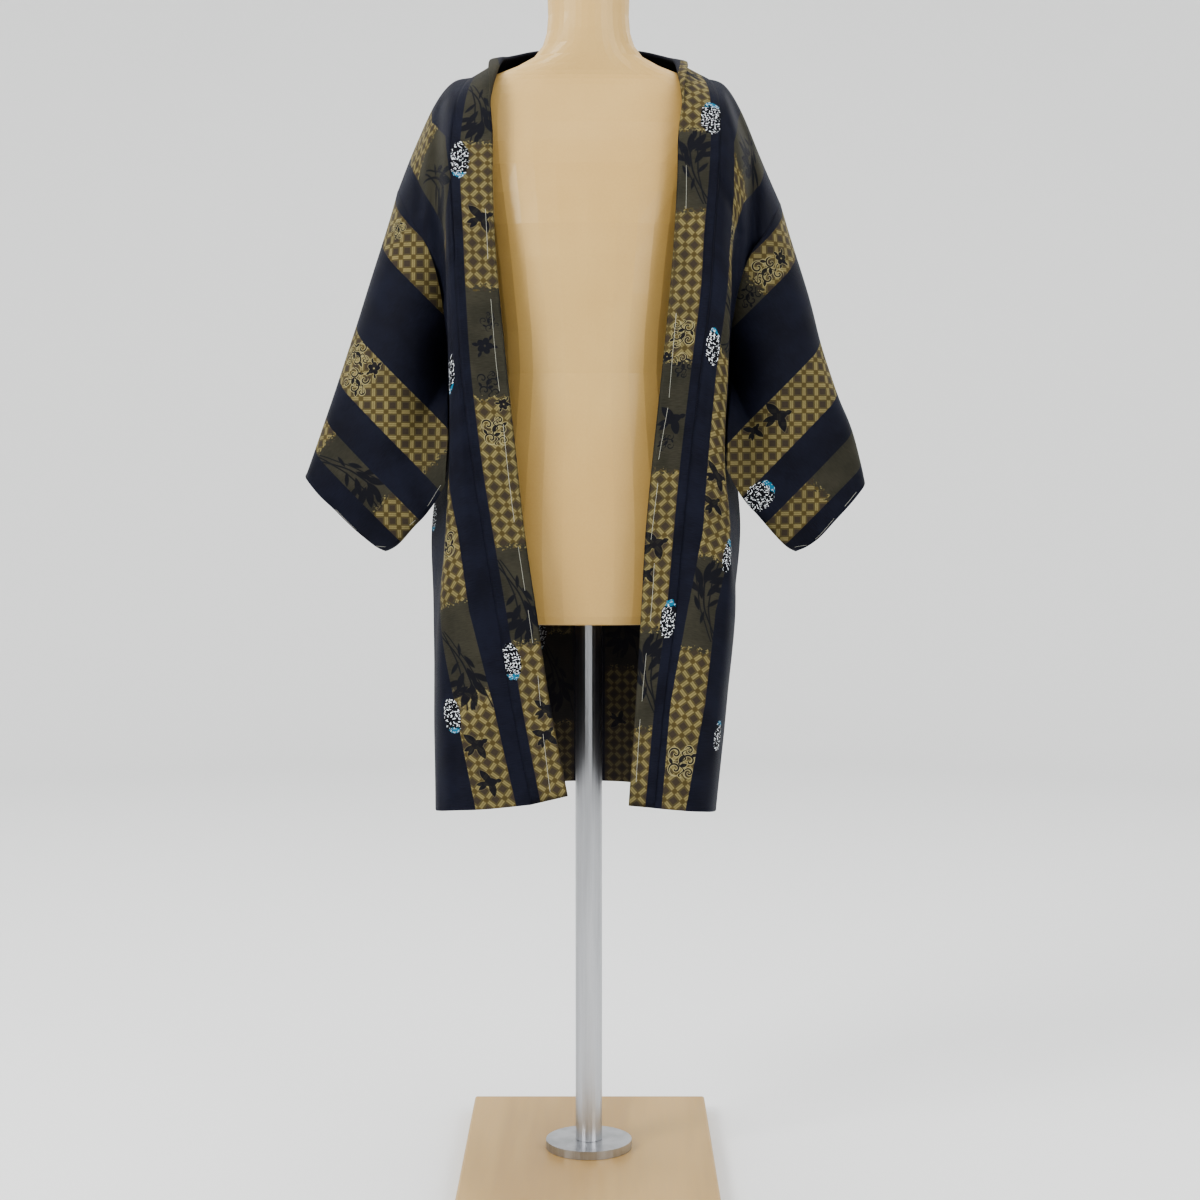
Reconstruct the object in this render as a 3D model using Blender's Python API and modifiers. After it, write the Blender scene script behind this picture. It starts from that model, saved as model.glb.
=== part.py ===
"""A haori jacket on a limbless dress form. Tables are in centimetres, everything built is in metres.

+X is the wearer's left, +Y is behind the wearer, +Z is up, and the origin is the middle of the
base board's underside. Tables give x as a distance outward from the centre line of each side.
"""
import math
from collections import namedtuple

import bpy
import bmesh
from mathutils import Vector

CM = 0.01

# Driving dimensions.
CLOTH = 0.0016             # thickness of the body and sleeve cloth
COLLAR_CLOTH = 0.0024      # the collar is a folded, doubled band
SEAM_GAP = 0.0014          # between two edges that are sewn together
ARMHOLE_LIFT = 0.0018      # how far outside the armhole's edge the sleeve starts
BOARD_WIDTH, BOARD_DEPTH, BOARD_THICK = 0.300, 0.420, 0.020
BOARD_EDGE = 0.003         # rounding of the board's edges
POLE_RADIUS = 0.016
POLE_FLANGE_RADIUS, POLE_FLANGE_THICK = 0.052, 0.010
TOUCHING = 0.0003          # between faces that rest on each other
GUSSET_BULGE = 0.25        # cm that a gusset bows outward at the hem

# How finely each surface is divided.
BODY_ROWS, BODY_COLUMNS = 46, 13
SLEEVE_RINGS, RING_POINTS = 15, 34
ARMHOLE_STEPS = 8          # along each half of the armhole's sewn edge
GUSSET_ROWS, GUSSET_COLUMNS = 14, 3
COLLAR_COLUMNS = 6
FORM_SIDES, FORM_RINGS = 40, 32
POLE_SIDES, FLANGE_SIDES = 24, 32

RIGHT, LEFT = -1, 1
SIDE_NAMES = {RIGHT: "right", LEFT: "left"}

# A body panel, from the front hem over the shoulder to the back hem. Each row crosses the panel:
# inner is the collar seam, the neckline or the centre back seam, near and corner shape the face and
# its turn, hollow is the dip beside the sleeve, and outer is the side or armhole edge.
Row = namedtuple("Row", "place inner near corner hollow outer")

RIGHT_PANEL = [
    Row("front hem", (6.5, -13.2, 45.9), (11.0, -13.5, 45.5), (16.5, -12.0, 45.0), (17.7, -7.4, 44.4), (17.8, -2.5, 44.0)),
    Row("front knee", (8.7, -13.0, 57.5), (12.3, -13.3, 57.3), (16.7, -11.6, 57.1), (17.8, -7.2, 57.0), (18.1, -2.0, 57.0)),
    Row("front thigh", (10.4, -12.8, 68.0), (13.2, -13.1, 68.0), (16.5, -11.6, 68.0), (17.4, -7.2, 68.0), (18.3, -1.6, 68.0)),
    Row("front hip", (11.9, -12.7, 77.0), (13.9, -12.9, 77.0), (16.1, -11.6, 77.0), (16.0, -7.2, 77.0), (18.5, -1.2, 77.0)),
    Row("front waist", (13.2, -12.6, 85.5), (14.4, -12.7, 85.5), (15.7, -11.5, 85.5), (14.9, -7.6, 85.5), (17.4, -0.8, 85.5)),
    Row("front ribs", (14.3, -12.4, 95.0), (15.0, -12.2, 95.0), (15.7, -11.0, 95.0), (15.2, -7.4, 95.0), (16.7, -0.6, 95.4)),
    Row("front bust", (14.9, -11.8, 104.0), (15.5, -11.4, 104.0), (16.0, -10.2, 103.8), (15.7, -7.0, 103.4), (16.9, -3.6, 102.8)),
    Row("front armpit", (15.2, -11.2, 110.5), (15.8, -10.7, 110.3), (16.2, -9.3, 110.0), (16.6, -7.2, 109.4), (18.2, -5.0, 108.8)),
    Row("front chest", (15.6, -9.4, 117.0), (16.3, -8.9, 116.4), (17.0, -8.0, 115.6), (18.4, -6.2, 114.3), (20.4, -4.2, 112.6)),
    Row("front neck", (15.6, -7.3, 122.5), (16.6, -6.7, 121.7), (17.9, -5.9, 120.2), (19.7, -4.4, 118.0), (21.7, -2.6, 115.2)),
    Row("shoulder front", (14.9, -4.2, 127.2), (16.5, -3.6, 126.3), (18.2, -3.1, 124.0), (20.2, -2.2, 120.4), (22.3, -0.6, 116.4)),
    Row("shoulder top", (13.6, 1.0, 130.0), (16.0, 1.0, 129.4), (18.1, 1.0, 126.8), (20.5, 1.2, 121.7), (22.5, 1.6, 116.8)),
    Row("shoulder back", (11.5, 5.2, 130.5), (15.2, 5.0, 129.0), (18.1, 4.8, 125.2), (20.3, 4.4, 120.4), (22.3, 3.8, 116.2)),
    Row("nape side", (6.5, 8.0, 130.9), (12.5, 8.0, 128.0), (17.0, 7.6, 123.6), (19.6, 6.6, 119.0), (21.7, 5.4, 115.0)),
    Row("nape", (0.0, 9.0, 131.0), (9.5, 9.8, 126.0), (15.6, 9.2, 121.2), (18.2, 8.0, 116.8), (20.3, 6.6, 112.6)),
    Row("blade", (0.0, 10.9, 122.5), (8.5, 11.2, 119.8), (14.2, 10.3, 116.4), (16.6, 8.9, 112.8), (18.2, 7.0, 108.8)),
    Row("upper back", (0.0, 11.9, 113.0), (8.4, 11.8, 112.0), (14.0, 10.6, 109.8), (15.9, 8.6, 106.6), (16.9, 5.2, 102.8)),
    Row("middle back", (0.0, 12.2, 103.0), (8.6, 12.0, 102.4), (14.2, 10.6, 100.8), (16.0, 7.4, 98.4), (16.7, 1.6, 95.4)),
    Row("back waist", (0.0, 12.3, 92.0), (8.9, 12.1, 91.6), (14.6, 10.8, 90.8), (16.5, 7.0, 89.6), (17.1, 1.8, 88.4)),
    Row("back hip", (0.0, 13.0, 80.0), (9.2, 12.8, 79.8), (15.2, 11.4, 79.4), (17.4, 7.6, 79.0), (18.2, 2.2, 78.6)),
    Row("back thigh", (0.0, 14.2, 68.0), (9.5, 14.0, 68.0), (15.8, 12.4, 68.0), (17.9, 8.2, 68.0), (18.3, 2.6, 68.0)),
    Row("back knee", (0.0, 15.4, 56.0), (9.8, 15.2, 56.0), (16.2, 13.4, 56.0), (18.0, 8.8, 56.0), (18.2, 3.0, 56.0)),
    Row("back hem", (0.0, 16.4, 44.3), (10.0, 16.2, 44.2), (16.4, 14.2, 44.0), (18.0, 9.4, 43.8), (18.0, 3.6, 43.7)),
]
LEFT_PANEL = [
    Row("front hem", (7.6, -13.2, 45.5), (10.2, -13.5, 45.3), (13.6, -12.2, 44.9), (14.8, -7.4, 44.3), (14.8, -2.5, 43.9)),
    Row("front knee", (8.7, -13.0, 57.5), (11.5, -13.3, 57.4), (14.8, -12.0, 57.2), (16.0, -7.2, 57.0), (16.0, -2.0, 57.0)),
    Row("front thigh", (10.0, -12.8, 68.0), (12.6, -13.1, 68.0), (15.8, -11.9, 68.0), (17.0, -7.2, 68.0), (17.1, -1.6, 68.0)),
    Row("front hip", (10.8, -12.7, 77.0), (13.1, -12.9, 77.0), (16.0, -11.7, 77.0), (16.2, -7.2, 77.0), (17.9, -1.2, 77.0)),
    Row("front waist", (11.6, -12.6, 85.5), (13.4, -12.7, 85.5), (15.4, -11.5, 85.5), (14.8, -7.6, 85.5), (17.2, -0.8, 85.5)),
    Row("front ribs", (12.7, -12.4, 95.0), (14.2, -12.3, 95.0), (15.8, -11.0, 95.0), (15.3, -7.4, 95.0), (16.7, -0.6, 95.0)),
    Row("front bust", (13.8, -11.8, 104.0), (15.0, -11.5, 104.0), (16.2, -10.2, 103.8), (15.9, -7.0, 103.2), (16.9, -3.6, 102.2)),
    Row("front armpit", (14.2, -11.2, 110.5), (15.3, -10.8, 110.2), (16.3, -9.4, 109.8), (16.8, -7.2, 109.0), (18.3, -5.0, 107.9)),
    Row("front chest", (14.8, -9.4, 117.0), (15.8, -9.0, 116.5), (16.9, -8.1, 115.4), (18.4, -6.2, 113.6), (20.5, -4.2, 111.3)),
    Row("front neck", (15.1, -7.3, 122.5), (16.2, -6.8, 121.8), (17.6, -5.9, 120.0), (19.6, -4.4, 117.2), (21.8, -2.6, 113.8)),
    Row("shoulder front", (15.0, -4.2, 127.0), (16.4, -3.6, 126.0), (18.0, -3.1, 123.4), (20.1, -2.2, 119.4), (22.4, -0.6, 115.0)),
    Row("shoulder top", (13.9, 1.0, 129.9), (16.0, 1.0, 129.1), (18.0, 1.0, 126.0), (20.3, 1.2, 120.6), (22.6, 1.6, 115.4)),
    Row("shoulder back", (11.6, 5.2, 130.5), (15.2, 5.0, 128.8), (18.0, 4.8, 124.4), (20.2, 4.4, 119.4), (22.4, 3.8, 114.8)),
    Row("nape side", (6.5, 8.0, 130.9), (12.5, 8.0, 127.9), (17.0, 7.6, 123.0), (19.6, 6.6, 118.2), (21.8, 5.4, 113.7)),
    Row("nape", (0.0, 9.0, 131.0), (9.5, 9.8, 126.0), (15.6, 9.2, 120.8), (18.2, 8.0, 116.2), (20.4, 6.6, 111.4)),
    Row("blade", (0.0, 10.9, 122.5), (8.5, 11.2, 119.8), (14.2, 10.3, 116.2), (16.6, 8.9, 112.2), (18.3, 7.0, 107.9)),
    Row("upper back", (0.0, 11.9, 113.0), (8.4, 11.8, 112.0), (14.0, 10.6, 109.6), (15.9, 8.6, 106.2), (16.9, 5.2, 102.2)),
    Row("middle back", (0.0, 12.2, 103.0), (8.6, 12.0, 102.4), (14.2, 10.6, 100.8), (16.0, 7.4, 98.4), (16.7, 1.6, 95.0)),
    Row("back waist", (0.0, 12.3, 92.0), (8.9, 12.1, 91.6), (14.6, 10.8, 90.8), (16.5, 7.0, 89.6), (17.0, 1.8, 88.2)),
    Row("back hip", (0.0, 13.0, 80.0), (9.2, 12.8, 79.8), (15.2, 11.4, 79.4), (17.2, 7.6, 79.0), (17.7, 2.2, 78.6)),
    Row("back thigh", (0.0, 14.2, 68.0), (9.3, 14.0, 68.0), (15.2, 12.4, 68.0), (16.9, 8.2, 68.0), (17.1, 2.6, 68.0)),
    Row("back knee", (0.0, 15.4, 56.0), (9.0, 15.2, 56.0), (14.4, 13.4, 56.0), (15.9, 8.8, 56.0), (15.9, 3.0, 56.0)),
    Row("back hem", (0.0, 16.4, 44.3), (8.6, 16.2, 44.2), (13.4, 14.2, 44.0), (14.8, 9.4, 43.8), (14.8, 3.6, 43.6)),
]
PANELS = {RIGHT: RIGHT_PANEL, LEFT: LEFT_PANEL}
ARMPIT_FRONT, SHOULDER_TOP, NAPE, ARMPIT_BACK = "front ribs", "shoulder top", "nape", "middle back"

# The collar's outer half, beside each body row from the front hem to the nape: roll is the line
# that it folds on, and edge is its free edge. Below the break it lies flat and has no roll.
Roll = namedtuple("Roll", "place roll edge")
RIGHT_COLLAR = [
    Roll("front hem", None, (2.3, -13.3, 46.9)),
    Roll("front knee", None, (4.4, -13.1, 58.0)),
    Roll("front thigh", None, (5.9, -12.9, 68.3)),
    Roll("front hip", None, (7.2, -12.8, 77.2)),
    Roll("front waist", None, (8.1, -12.7, 85.6)),
    Roll("front ribs", None, (9.1, -12.5, 95.0)),
    Roll("front bust", None, (10.0, -11.9, 103.9)),
    Roll("front armpit", None, (10.5, -11.4, 110.3)),
    Roll("front chest", None, (10.8, -9.8, 116.9)),
    Roll("front neck", None, (10.9, -7.7, 122.5)),
    Roll("shoulder front", (11.0, -4.4, 128.6), (11.5, -4.9, 128.9)),
    Roll("shoulder top", (10.2, 0.8, 132.0), (11.7, 1.2, 132.1)),
    Roll("shoulder back", (9.2, 4.3, 133.0), (11.0, 5.5, 132.8)),
    Roll("nape side", (5.6, 7.0, 134.2), (6.9, 9.2, 133.3)),
    Roll("nape", (0.0, 8.3, 134.4), (0.0, 10.6, 133.0)),
]
LEFT_COLLAR = [
    Roll("front hem", None, (4.6, -13.3, 45.8)),
    Roll("front knee", None, (5.4, -13.1, 57.6)),
    Roll("front thigh", None, (6.0, -12.9, 68.0)),
    Roll("front hip", None, (6.5, -12.8, 77.0)),
    Roll("front waist", None, (7.3, -12.7, 85.5)),
    Roll("front ribs", None, (8.3, -12.5, 95.0)),
    Roll("front bust", None, (9.2, -11.9, 104.0)),
    Roll("front armpit", None, (9.7, -11.4, 110.5)),
    Roll("front chest", None, (10.1, -9.8, 117.0)),
    Roll("front neck", None, (10.3, -7.7, 122.5)),
    Roll("shoulder front", (10.7, -4.4, 128.4), (11.2, -4.9, 128.7)),
    Roll("shoulder top", (10.2, 0.8, 131.7), (11.7, 1.2, 131.8)),
    Roll("shoulder back", (9.2, 4.3, 132.9), (11.0, 5.5, 132.7)),
    Roll("nape side", (5.6, 7.0, 134.2), (6.9, 9.2, 133.3)),
    Roll("nape", (0.0, 8.3, 134.4), (0.0, 10.6, 133.0)),
]
COLLARS = {RIGHT: RIGHT_COLLAR, LEFT: LEFT_COLLAR}
FLAT_ROLL_SHARE = 0.28      # where the collar lies flat, its roll line as a share from edge to seam
COLLAR_MIDDLE_SHARE = 0.52  # the point between seam and roll that shapes the collar's stand

# A sleeve as it hangs, each point (x, y, z): ridge runs from the shoulder seam to the cuff along
# the outer bend, and hem along the sewn lower edge. cuff, (x, z), joins their ends. free_front and
# free_back are the open edges between the armhole and the hem's inner end.
Sleeve = namedtuple("Sleeve", "ridge hem cuff free_front free_back")
SLEEVES = {
    RIGHT: Sleeve(
        ridge=[(22.4, 1.6, 116.8), (24.4, 1.6, 109.7), (27.6, 1.4, 100.5), (29.7, 1.1, 94.4),
               (31.4, 0.8, 89.5), (32.8, 0.5, 85.4), (33.6, 0.3, 83.1)],
        hem=[(16.5, -7.2, 82.4), (18.4, -5.4, 79.4), (20.4, -3.6, 77.4), (22.6, -1.8, 75.2), (24.4, -0.6, 74.2)],
        cuff=[(33.6, 83.1), (31.7, 80.9), (30.1, 79.4), (27.6, 76.9), (24.4, 74.2)],
        free_front=[(17.1, -3.4, 91.5), (16.9, -5.8, 87.0)],
        free_back=[(18.0, -4.4, 83.4), (18.8, -1.2, 84.4), (18.7, 1.6, 87.0), (17.8, 2.6, 91.5)]),
    LEFT: Sleeve(
        ridge=[(22.5, 1.6, 115.4), (24.5, 1.6, 109.1), (26.2, 1.4, 104.1), (27.6, 1.1, 98.4),
               (29.5, 0.8, 92.7), (31.2, 0.5, 88.4), (32.8, 0.3, 82.3)],
        hem=[(16.0, -7.2, 84.0), (17.7, -5.4, 80.9), (19.9, -3.6, 78.6), (23.1, -1.8, 75.2), (24.8, -0.6, 74.2)],
        cuff=[(32.8, 82.3), (31.0, 80.1), (29.1, 78.0), (27.1, 75.8), (24.8, 74.2)],
        free_front=[(17.1, -3.4, 91.5), (16.7, -5.8, 88.0)],
        free_back=[(17.8, -4.4, 84.8), (18.5, -1.2, 85.4), (18.4, 1.6, 87.6), (17.7, 2.6, 91.5)]),
}
SLEEVE_DEPTH_BODY, SLEEVE_DEPTH_CUFF = 6.2, 3.3     # half depths, front to back, in cm
ARMHOLE_REACH = 0.42        # share of the sleeve's length in which it leaves the armhole's shape
SLEEVE_ROUNDNESS = 0.75     # power of the sine that rounds the sleeve's section: lower is fuller
HEM_FLATTENING = 0.62       # how much thinner the section is at the hem than at the ridge

# Soft vertical folds of the back, each at a share of the panel's width: depth at the hem in cm.
FOLD_FULL_HEIGHT = 46.0     # cm: a fold has its whole depth from here down
Fold = namedtuple("Fold", "share width depth top")
BACK_FOLDS = [
    Fold(share=0.20, width=0.085, depth=-1.7, top=112.0),
    Fold(share=0.42, width=0.075, depth=-1.4, top=100.0),
    Fold(share=0.63, width=0.080, depth=-1.9, top=106.0),
]

# The dress form, bottom to top, as rounded sections.
Section = namedtuple("Section", "z half_width front back squareness")
FORM = [
    Section(66.0, 12.6, -8.4, 9.2, 2.4),
    Section(67.0, 13.4, -9.0, 9.9, 2.4),
    Section(74.0, 14.2, -9.6, 10.5, 2.4),
    Section(82.0, 13.8, -9.6, 10.3, 2.4),
    Section(95.0, 12.2, -8.8, 9.0, 2.4),
    Section(104.0, 12.9, -9.3, 9.4, 2.5),
    Section(112.0, 13.9, -9.3, 9.8, 2.6),
    Section(119.0, 15.3, -7.6, 9.2, 2.6),
    Section(124.0, 16.1, -5.2, 7.8, 2.5),
    Section(127.6, 15.9, -3.6, 6.6, 2.4),
    Section(129.3, 13.87, -2.9, 5.9, 2.2),
    Section(130.3, 10.6, -2.9, 5.6, 2.1),
    Section(132.2, 6.4, -3.4, 5.3, 2.0),
    Section(135.0, 4.9, -3.9, 4.9, 2.0),
    Section(139.0, 4.8, -4.1, 4.6, 2.0),
    Section(143.2, 5.2, -4.4, 4.9, 2.0),
    Section(144.0, 4.8, -4.0, 4.5, 2.0),
]

COLOURS = {
    "cloth": ((0.016, 0.018, 0.036, 1.0), 0.60),
    "collar": ((0.115, 0.088, 0.036, 1.0), 0.60),
    "form": ((0.83, 0.66, 0.36, 1.0), 0.45),
    "pole": ((0.45, 0.45, 0.46, 1.0), 0.30),
    "board": ((0.72, 0.60, 0.38, 1.0), 0.55),
}


def catmull_rom(points, t):
    """A smooth curve through all the points, at t from 0 to 1 along the list."""
    spans = len(points) - 1
    index = min(int(t * spans), spans - 1)
    u = t * spans - index
    p1, p2 = points[index], points[index + 1]
    p0 = points[index - 1] if index > 0 else p1 * 2 - p2
    p3 = points[index + 2] if index + 2 <= spans else p2 * 2 - p1
    return 0.5 * (2 * p1 + (p2 - p0) * u + (2 * p0 - 5 * p1 + 4 * p2 - p3) * u ** 2
                  + (3 * p1 - p0 - 3 * p2 + p3) * u ** 3)


def smooth_step(low, high, value):
    share = min(max((value - low) / (high - low), 0.0), 1.0)
    return share * share * (3 - 2 * share)


def place_on_side(side, point):
    """A table's point, whose x is outward, as a world position."""
    return Vector((side * point[0], point[1], point[2])) * CM


def row_share(side, place):
    """How far along the panel's table a named row is, from 0 to 1."""
    names = [row.place for row in PANELS[side]]
    return names.index(place) / (len(names) - 1)


def panel_column(side, column, t):
    points = [Vector(getattr(row, column)) for row in PANELS[side]]
    if column == "inner":
        return neckline_point(points, side, t)
    return catmull_rom(points, t)


def neckline_point(points, side, t):
    """The inner edge, which turns a sharp corner where the neckline meets the centre back seam."""
    corner = [row.place for row in PANELS[side]].index(NAPE)
    share = corner / (len(points) - 1)
    if t <= share:
        return catmull_rom(points[:corner + 1], t / share)
    return catmull_rom(points[corner:], (t - share) / (1 - share))


def back_fold_depth(across, height, t, side):
    """How far the soft folds pull the back panel in, in cm."""
    behind = smooth_step(row_share(side, NAPE), row_share(side, ARMPIT_BACK), t)
    depth = 0.0
    for fold in BACK_FOLDS:
        grown = smooth_step(fold.top, FOLD_FULL_HEIGHT, height)
        depth += fold.depth * grown * math.exp(-((across - fold.share) / fold.width) ** 2)
    return depth * behind


def panel_point(side, t, across):
    """A point of the body panel in table units, t along it and across it from the inner edge."""
    columns = [panel_column(side, name, t) for name in ("inner", "near", "corner", "hollow", "outer")]
    point = catmull_rom(columns, across)
    point.y += back_fold_depth(across, point.z, t, side)
    return point


def trimmed(first, second, length):
    """first, moved towards second by a length in cm."""
    return first + (second - first).normalized() * length


def sheet_object(name, grid, closed_across=False):
    """A mesh from a grid of table points, given as rows of world positions."""
    mesh = bpy.data.meshes.new(name)
    shape = bmesh.new()
    rows = [[shape.verts.new(point) for point in row] for row in grid]
    for lower, upper in zip(rows, rows[1:]):
        count = len(lower)
        for i in range(count if closed_across else count - 1):
            j = (i + 1) % count
            shape.faces.new((lower[i], lower[j], upper[j], upper[i]))
    shape.to_mesh(mesh)
    shape.free()
    return add_object(name, mesh)


def add_object(name, mesh):
    thing = bpy.data.objects.new(name, mesh)
    parts.objects.link(thing)
    mesh.shade_smooth()
    return thing


def thicken(thing, thickness):
    solid = thing.modifiers.new("Cloth", "SOLIDIFY")
    solid.thickness = thickness
    solid.offset = 0


def colour(thing, kind):
    material = bpy.data.materials.get(kind) or bpy.data.materials.new(kind)
    material.use_nodes = True
    tint, roughness = COLOURS[kind]
    shader = material.node_tree.nodes["Principled BSDF"]
    shader.inputs["Base Color"].default_value = tint
    shader.inputs["Roughness"].default_value = roughness
    shader.inputs["Metallic"].default_value = 0.0
    thing.data.materials.append(material)


def body_rows(side):
    """Shares along the panel where its rows of faces lie, with one exactly at each sharp place."""
    corner = row_share(side, NAPE)
    front = round(BODY_ROWS * corner)
    behind = BODY_ROWS - front
    return [corner * i / front for i in range(front)] + [
        corner + (1 - corner) * i / behind for i in range(behind + 1)]


def build_body_panel(side):
    grid = []
    for t in body_rows(side):
        row = [panel_point(side, t, i / (BODY_COLUMNS - 1)) for i in range(BODY_COLUMNS)]
        row[0] = trimmed(row[0], row[1], SEAM_GAP / 2 / CM)
        row[-1] = trimmed(row[-1], row[-2], SEAM_GAP / 2 / CM)
        grid.append([place_on_side(side, point) for point in row])
    panel = sheet_object("body_panel_" + SIDE_NAMES[side], grid)
    thicken(panel, CLOTH)
    colour(panel, "cloth")


def side_edge(side, t):
    return panel_point(side, t, 1.0)


def build_gusset(side):
    """The narrow wedge between the front's and the back's side edges, below the armhole."""
    front_low, front_high = 0.0, row_share(side, ARMPIT_FRONT)
    back_low, back_high = 1.0, row_share(side, ARMPIT_BACK)
    grid = []
    for i in range(GUSSET_ROWS + 1):
        share = i / GUSSET_ROWS
        front = side_edge(side, front_low + (front_high - front_low) * share)
        behind = side_edge(side, back_low + (back_high - back_low) * share)
        first = trimmed(front, behind, SEAM_GAP / 2 / CM)
        last = trimmed(behind, front, SEAM_GAP / 2 / CM)
        row = []
        for j in range(GUSSET_COLUMNS + 1):
            across = j / GUSSET_COLUMNS
            point = first.lerp(last, across)
            point.x += GUSSET_BULGE * math.sin(math.pi * across) * (1 - share)
            row.append(place_on_side(side, point))
        grid.append(row)
    gusset = sheet_object("gusset_" + SIDE_NAMES[side], grid)
    thicken(gusset, CLOTH)
    colour(gusset, "cloth")


def armhole_loop(side):
    """The sleeve's inner edge as a closed loop, (front half, back half), from the top of the armhole
    down the front to the hem's inner end, and back up behind."""
    top = row_share(side, SHOULDER_TOP)
    front_end = row_share(side, ARMPIT_FRONT)
    back_end = row_share(side, ARMPIT_BACK)
    sleeve = SLEEVES[side]
    outside = Vector((ARMHOLE_LIFT / CM, 0, 0))
    shares = [i / ARMHOLE_STEPS for i in range(ARMHOLE_STEPS + 1)]
    front = [side_edge(side, top + (front_end - top) * share) + outside for share in shares]
    behind = [side_edge(side, back_end + (top - back_end) * share) + outside for share in shares]
    low = Vector(sleeve.hem[0])
    return (front + [Vector(p) for p in sleeve.free_front] + [low],
            [low] + [Vector(p) for p in sleeve.free_back] + behind)


def along_path(points, share):
    """The point at a share of a path's length."""
    lengths = [(b - a).length for a, b in zip(points, points[1:])]
    wanted = share * sum(lengths)
    for start, end, length in zip(points, points[1:], lengths):
        if wanted <= length:
            return start.lerp(end, wanted / length)
        wanted -= length
    return points[-1].copy()


def sleeve_skin(side, along, angle):
    """A point of the hanging sleeve: along it from armhole to cuff, angle round it from the ridge."""
    sleeve = SLEEVES[side]
    down = (1 - math.cos(angle)) / 2
    ridge, hem = [Vector(p) for p in sleeve.ridge], [Vector(p) for p in sleeve.hem]
    cuff = catmull_rom([Vector((x, 0, z)) for x, z in sleeve.cuff], down)
    cuff.y = ridge[-1].lerp(hem[-1], down).y
    place = ridge[0].lerp(hem[0], down) * (1 - along) + cuff * along
    place += catmull_rom(ridge, along).lerp(catmull_rom(hem, along), down)
    place -= ridge[0].lerp(hem[0], down).lerp(ridge[-1].lerp(hem[-1], down), along)
    half_depth = SLEEVE_DEPTH_BODY + (SLEEVE_DEPTH_CUFF - SLEEVE_DEPTH_BODY) * along
    swell = abs(math.sin(angle)) ** SLEEVE_ROUNDNESS * (1 - HEM_FLATTENING * down)
    place.y += half_depth * swell * (-1 if angle <= math.pi else 1)
    return place


def build_sleeve(side):
    front, behind = armhole_loop(side)
    half = RING_POINTS // 2
    grid = []
    for ring in range(SLEEVE_RINGS):
        along = ring / (SLEEVE_RINGS - 1)
        blend = smooth_step(0.0, ARMHOLE_REACH, along)
        row = []
        for index in range(RING_POINTS):
            if index <= half:
                edge = along_path(front, index / half)
            else:
                edge = along_path(behind, (index - half) / half)
            row.append(edge.lerp(sleeve_skin(side, along, math.pi * index / half), blend))
        grid.append(row)
    grid[0] = [trimmed(a, b, SEAM_GAP / CM) for a, b in zip(grid[0], grid[1])]
    world = [[place_on_side(side, point) for point in row] for row in grid]
    sleeve = sheet_object("sleeve_" + SIDE_NAMES[side], world, closed_across=True)
    thicken(sleeve, CLOTH)
    colour(sleeve, "cloth")


def collar_row(side, t):
    """The collar's cross-section beside one place of the body panel's inner edge."""
    names = [row.place for row in PANELS[side]]
    corner = names.index(NAPE)
    share = t / (corner / (len(names) - 1))
    seam = panel_column(side, "inner", t)
    edge = catmull_rom([Vector(row.edge) for row in COLLARS[side]], share)
    rolls = []
    for row, panel_row in zip(COLLARS[side], PANELS[side]):
        flat = Vector(row.edge).lerp(Vector(panel_row.inner), FLAT_ROLL_SHARE)
        rolls.append(Vector(row.roll) if row.roll else flat)
    roll = catmull_rom(rolls, share)
    seam = trimmed(seam, roll, SEAM_GAP / 2 / CM)
    middle = seam.lerp(roll, COLLAR_MIDDLE_SHARE)
    return [catmull_rom([seam, middle, roll, edge], i / (COLLAR_COLUMNS - 1)) for i in range(COLLAR_COLUMNS)]


def build_collar():
    grid = []
    for side in (RIGHT, LEFT):
        corner = row_share(side, NAPE)
        stations = [t for t in body_rows(side) if t <= corner + 1e-6]
        rows = [[place_on_side(side, point) for point in collar_row(side, t)] for t in stations]
        grid += rows if side == RIGHT else rows[-2::-1]
    collar = sheet_object("collar", grid)
    thicken(collar, COLLAR_CLOTH)
    colour(collar, "collar")


def form_ring(section):
    """A rounded section of the form, whose front and back depths differ."""
    ring = []
    for index in range(FORM_SIDES):
        angle = 2 * math.pi * index / FORM_SIDES
        cosine, sine = math.cos(angle), math.sin(angle)
        power = 2 / section.squareness
        x = math.copysign(abs(cosine) ** power, cosine) * section.half_width
        depth = section.back if sine > 0 else -section.front
        y = math.copysign(abs(sine) ** power, sine) * depth
        ring.append(Vector((x, y, section.z)) * CM)
    return ring


def build_form():
    """The torso and neck: one smooth closed loft through the form's sections."""
    sizes = [Vector((s.z, s.half_width, s.front, s.back)) for s in FORM]
    corners = [Vector((s.squareness, 0)) for s in FORM]
    mesh = bpy.data.meshes.new("dress_form")
    shape = bmesh.new()
    rows = []
    for i in range(FORM_RINGS + 1):
        z, half_width, front, back = catmull_rom(sizes, i / FORM_RINGS)
        squareness = catmull_rom(corners, i / FORM_RINGS).x
        ring = form_ring(Section(z, half_width, front, back, squareness))
        rows.append([shape.verts.new(point) for point in ring])
    for lower, upper in zip(rows, rows[1:]):
        for i in range(FORM_SIDES):
            j = (i + 1) % FORM_SIDES
            shape.faces.new((lower[i], lower[j], upper[j], upper[i]))
    shape.faces.new(rows[0][::-1])
    shape.faces.new(rows[-1])
    shape.to_mesh(mesh)
    shape.free()
    colour(add_object("dress_form", mesh), "form")


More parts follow.
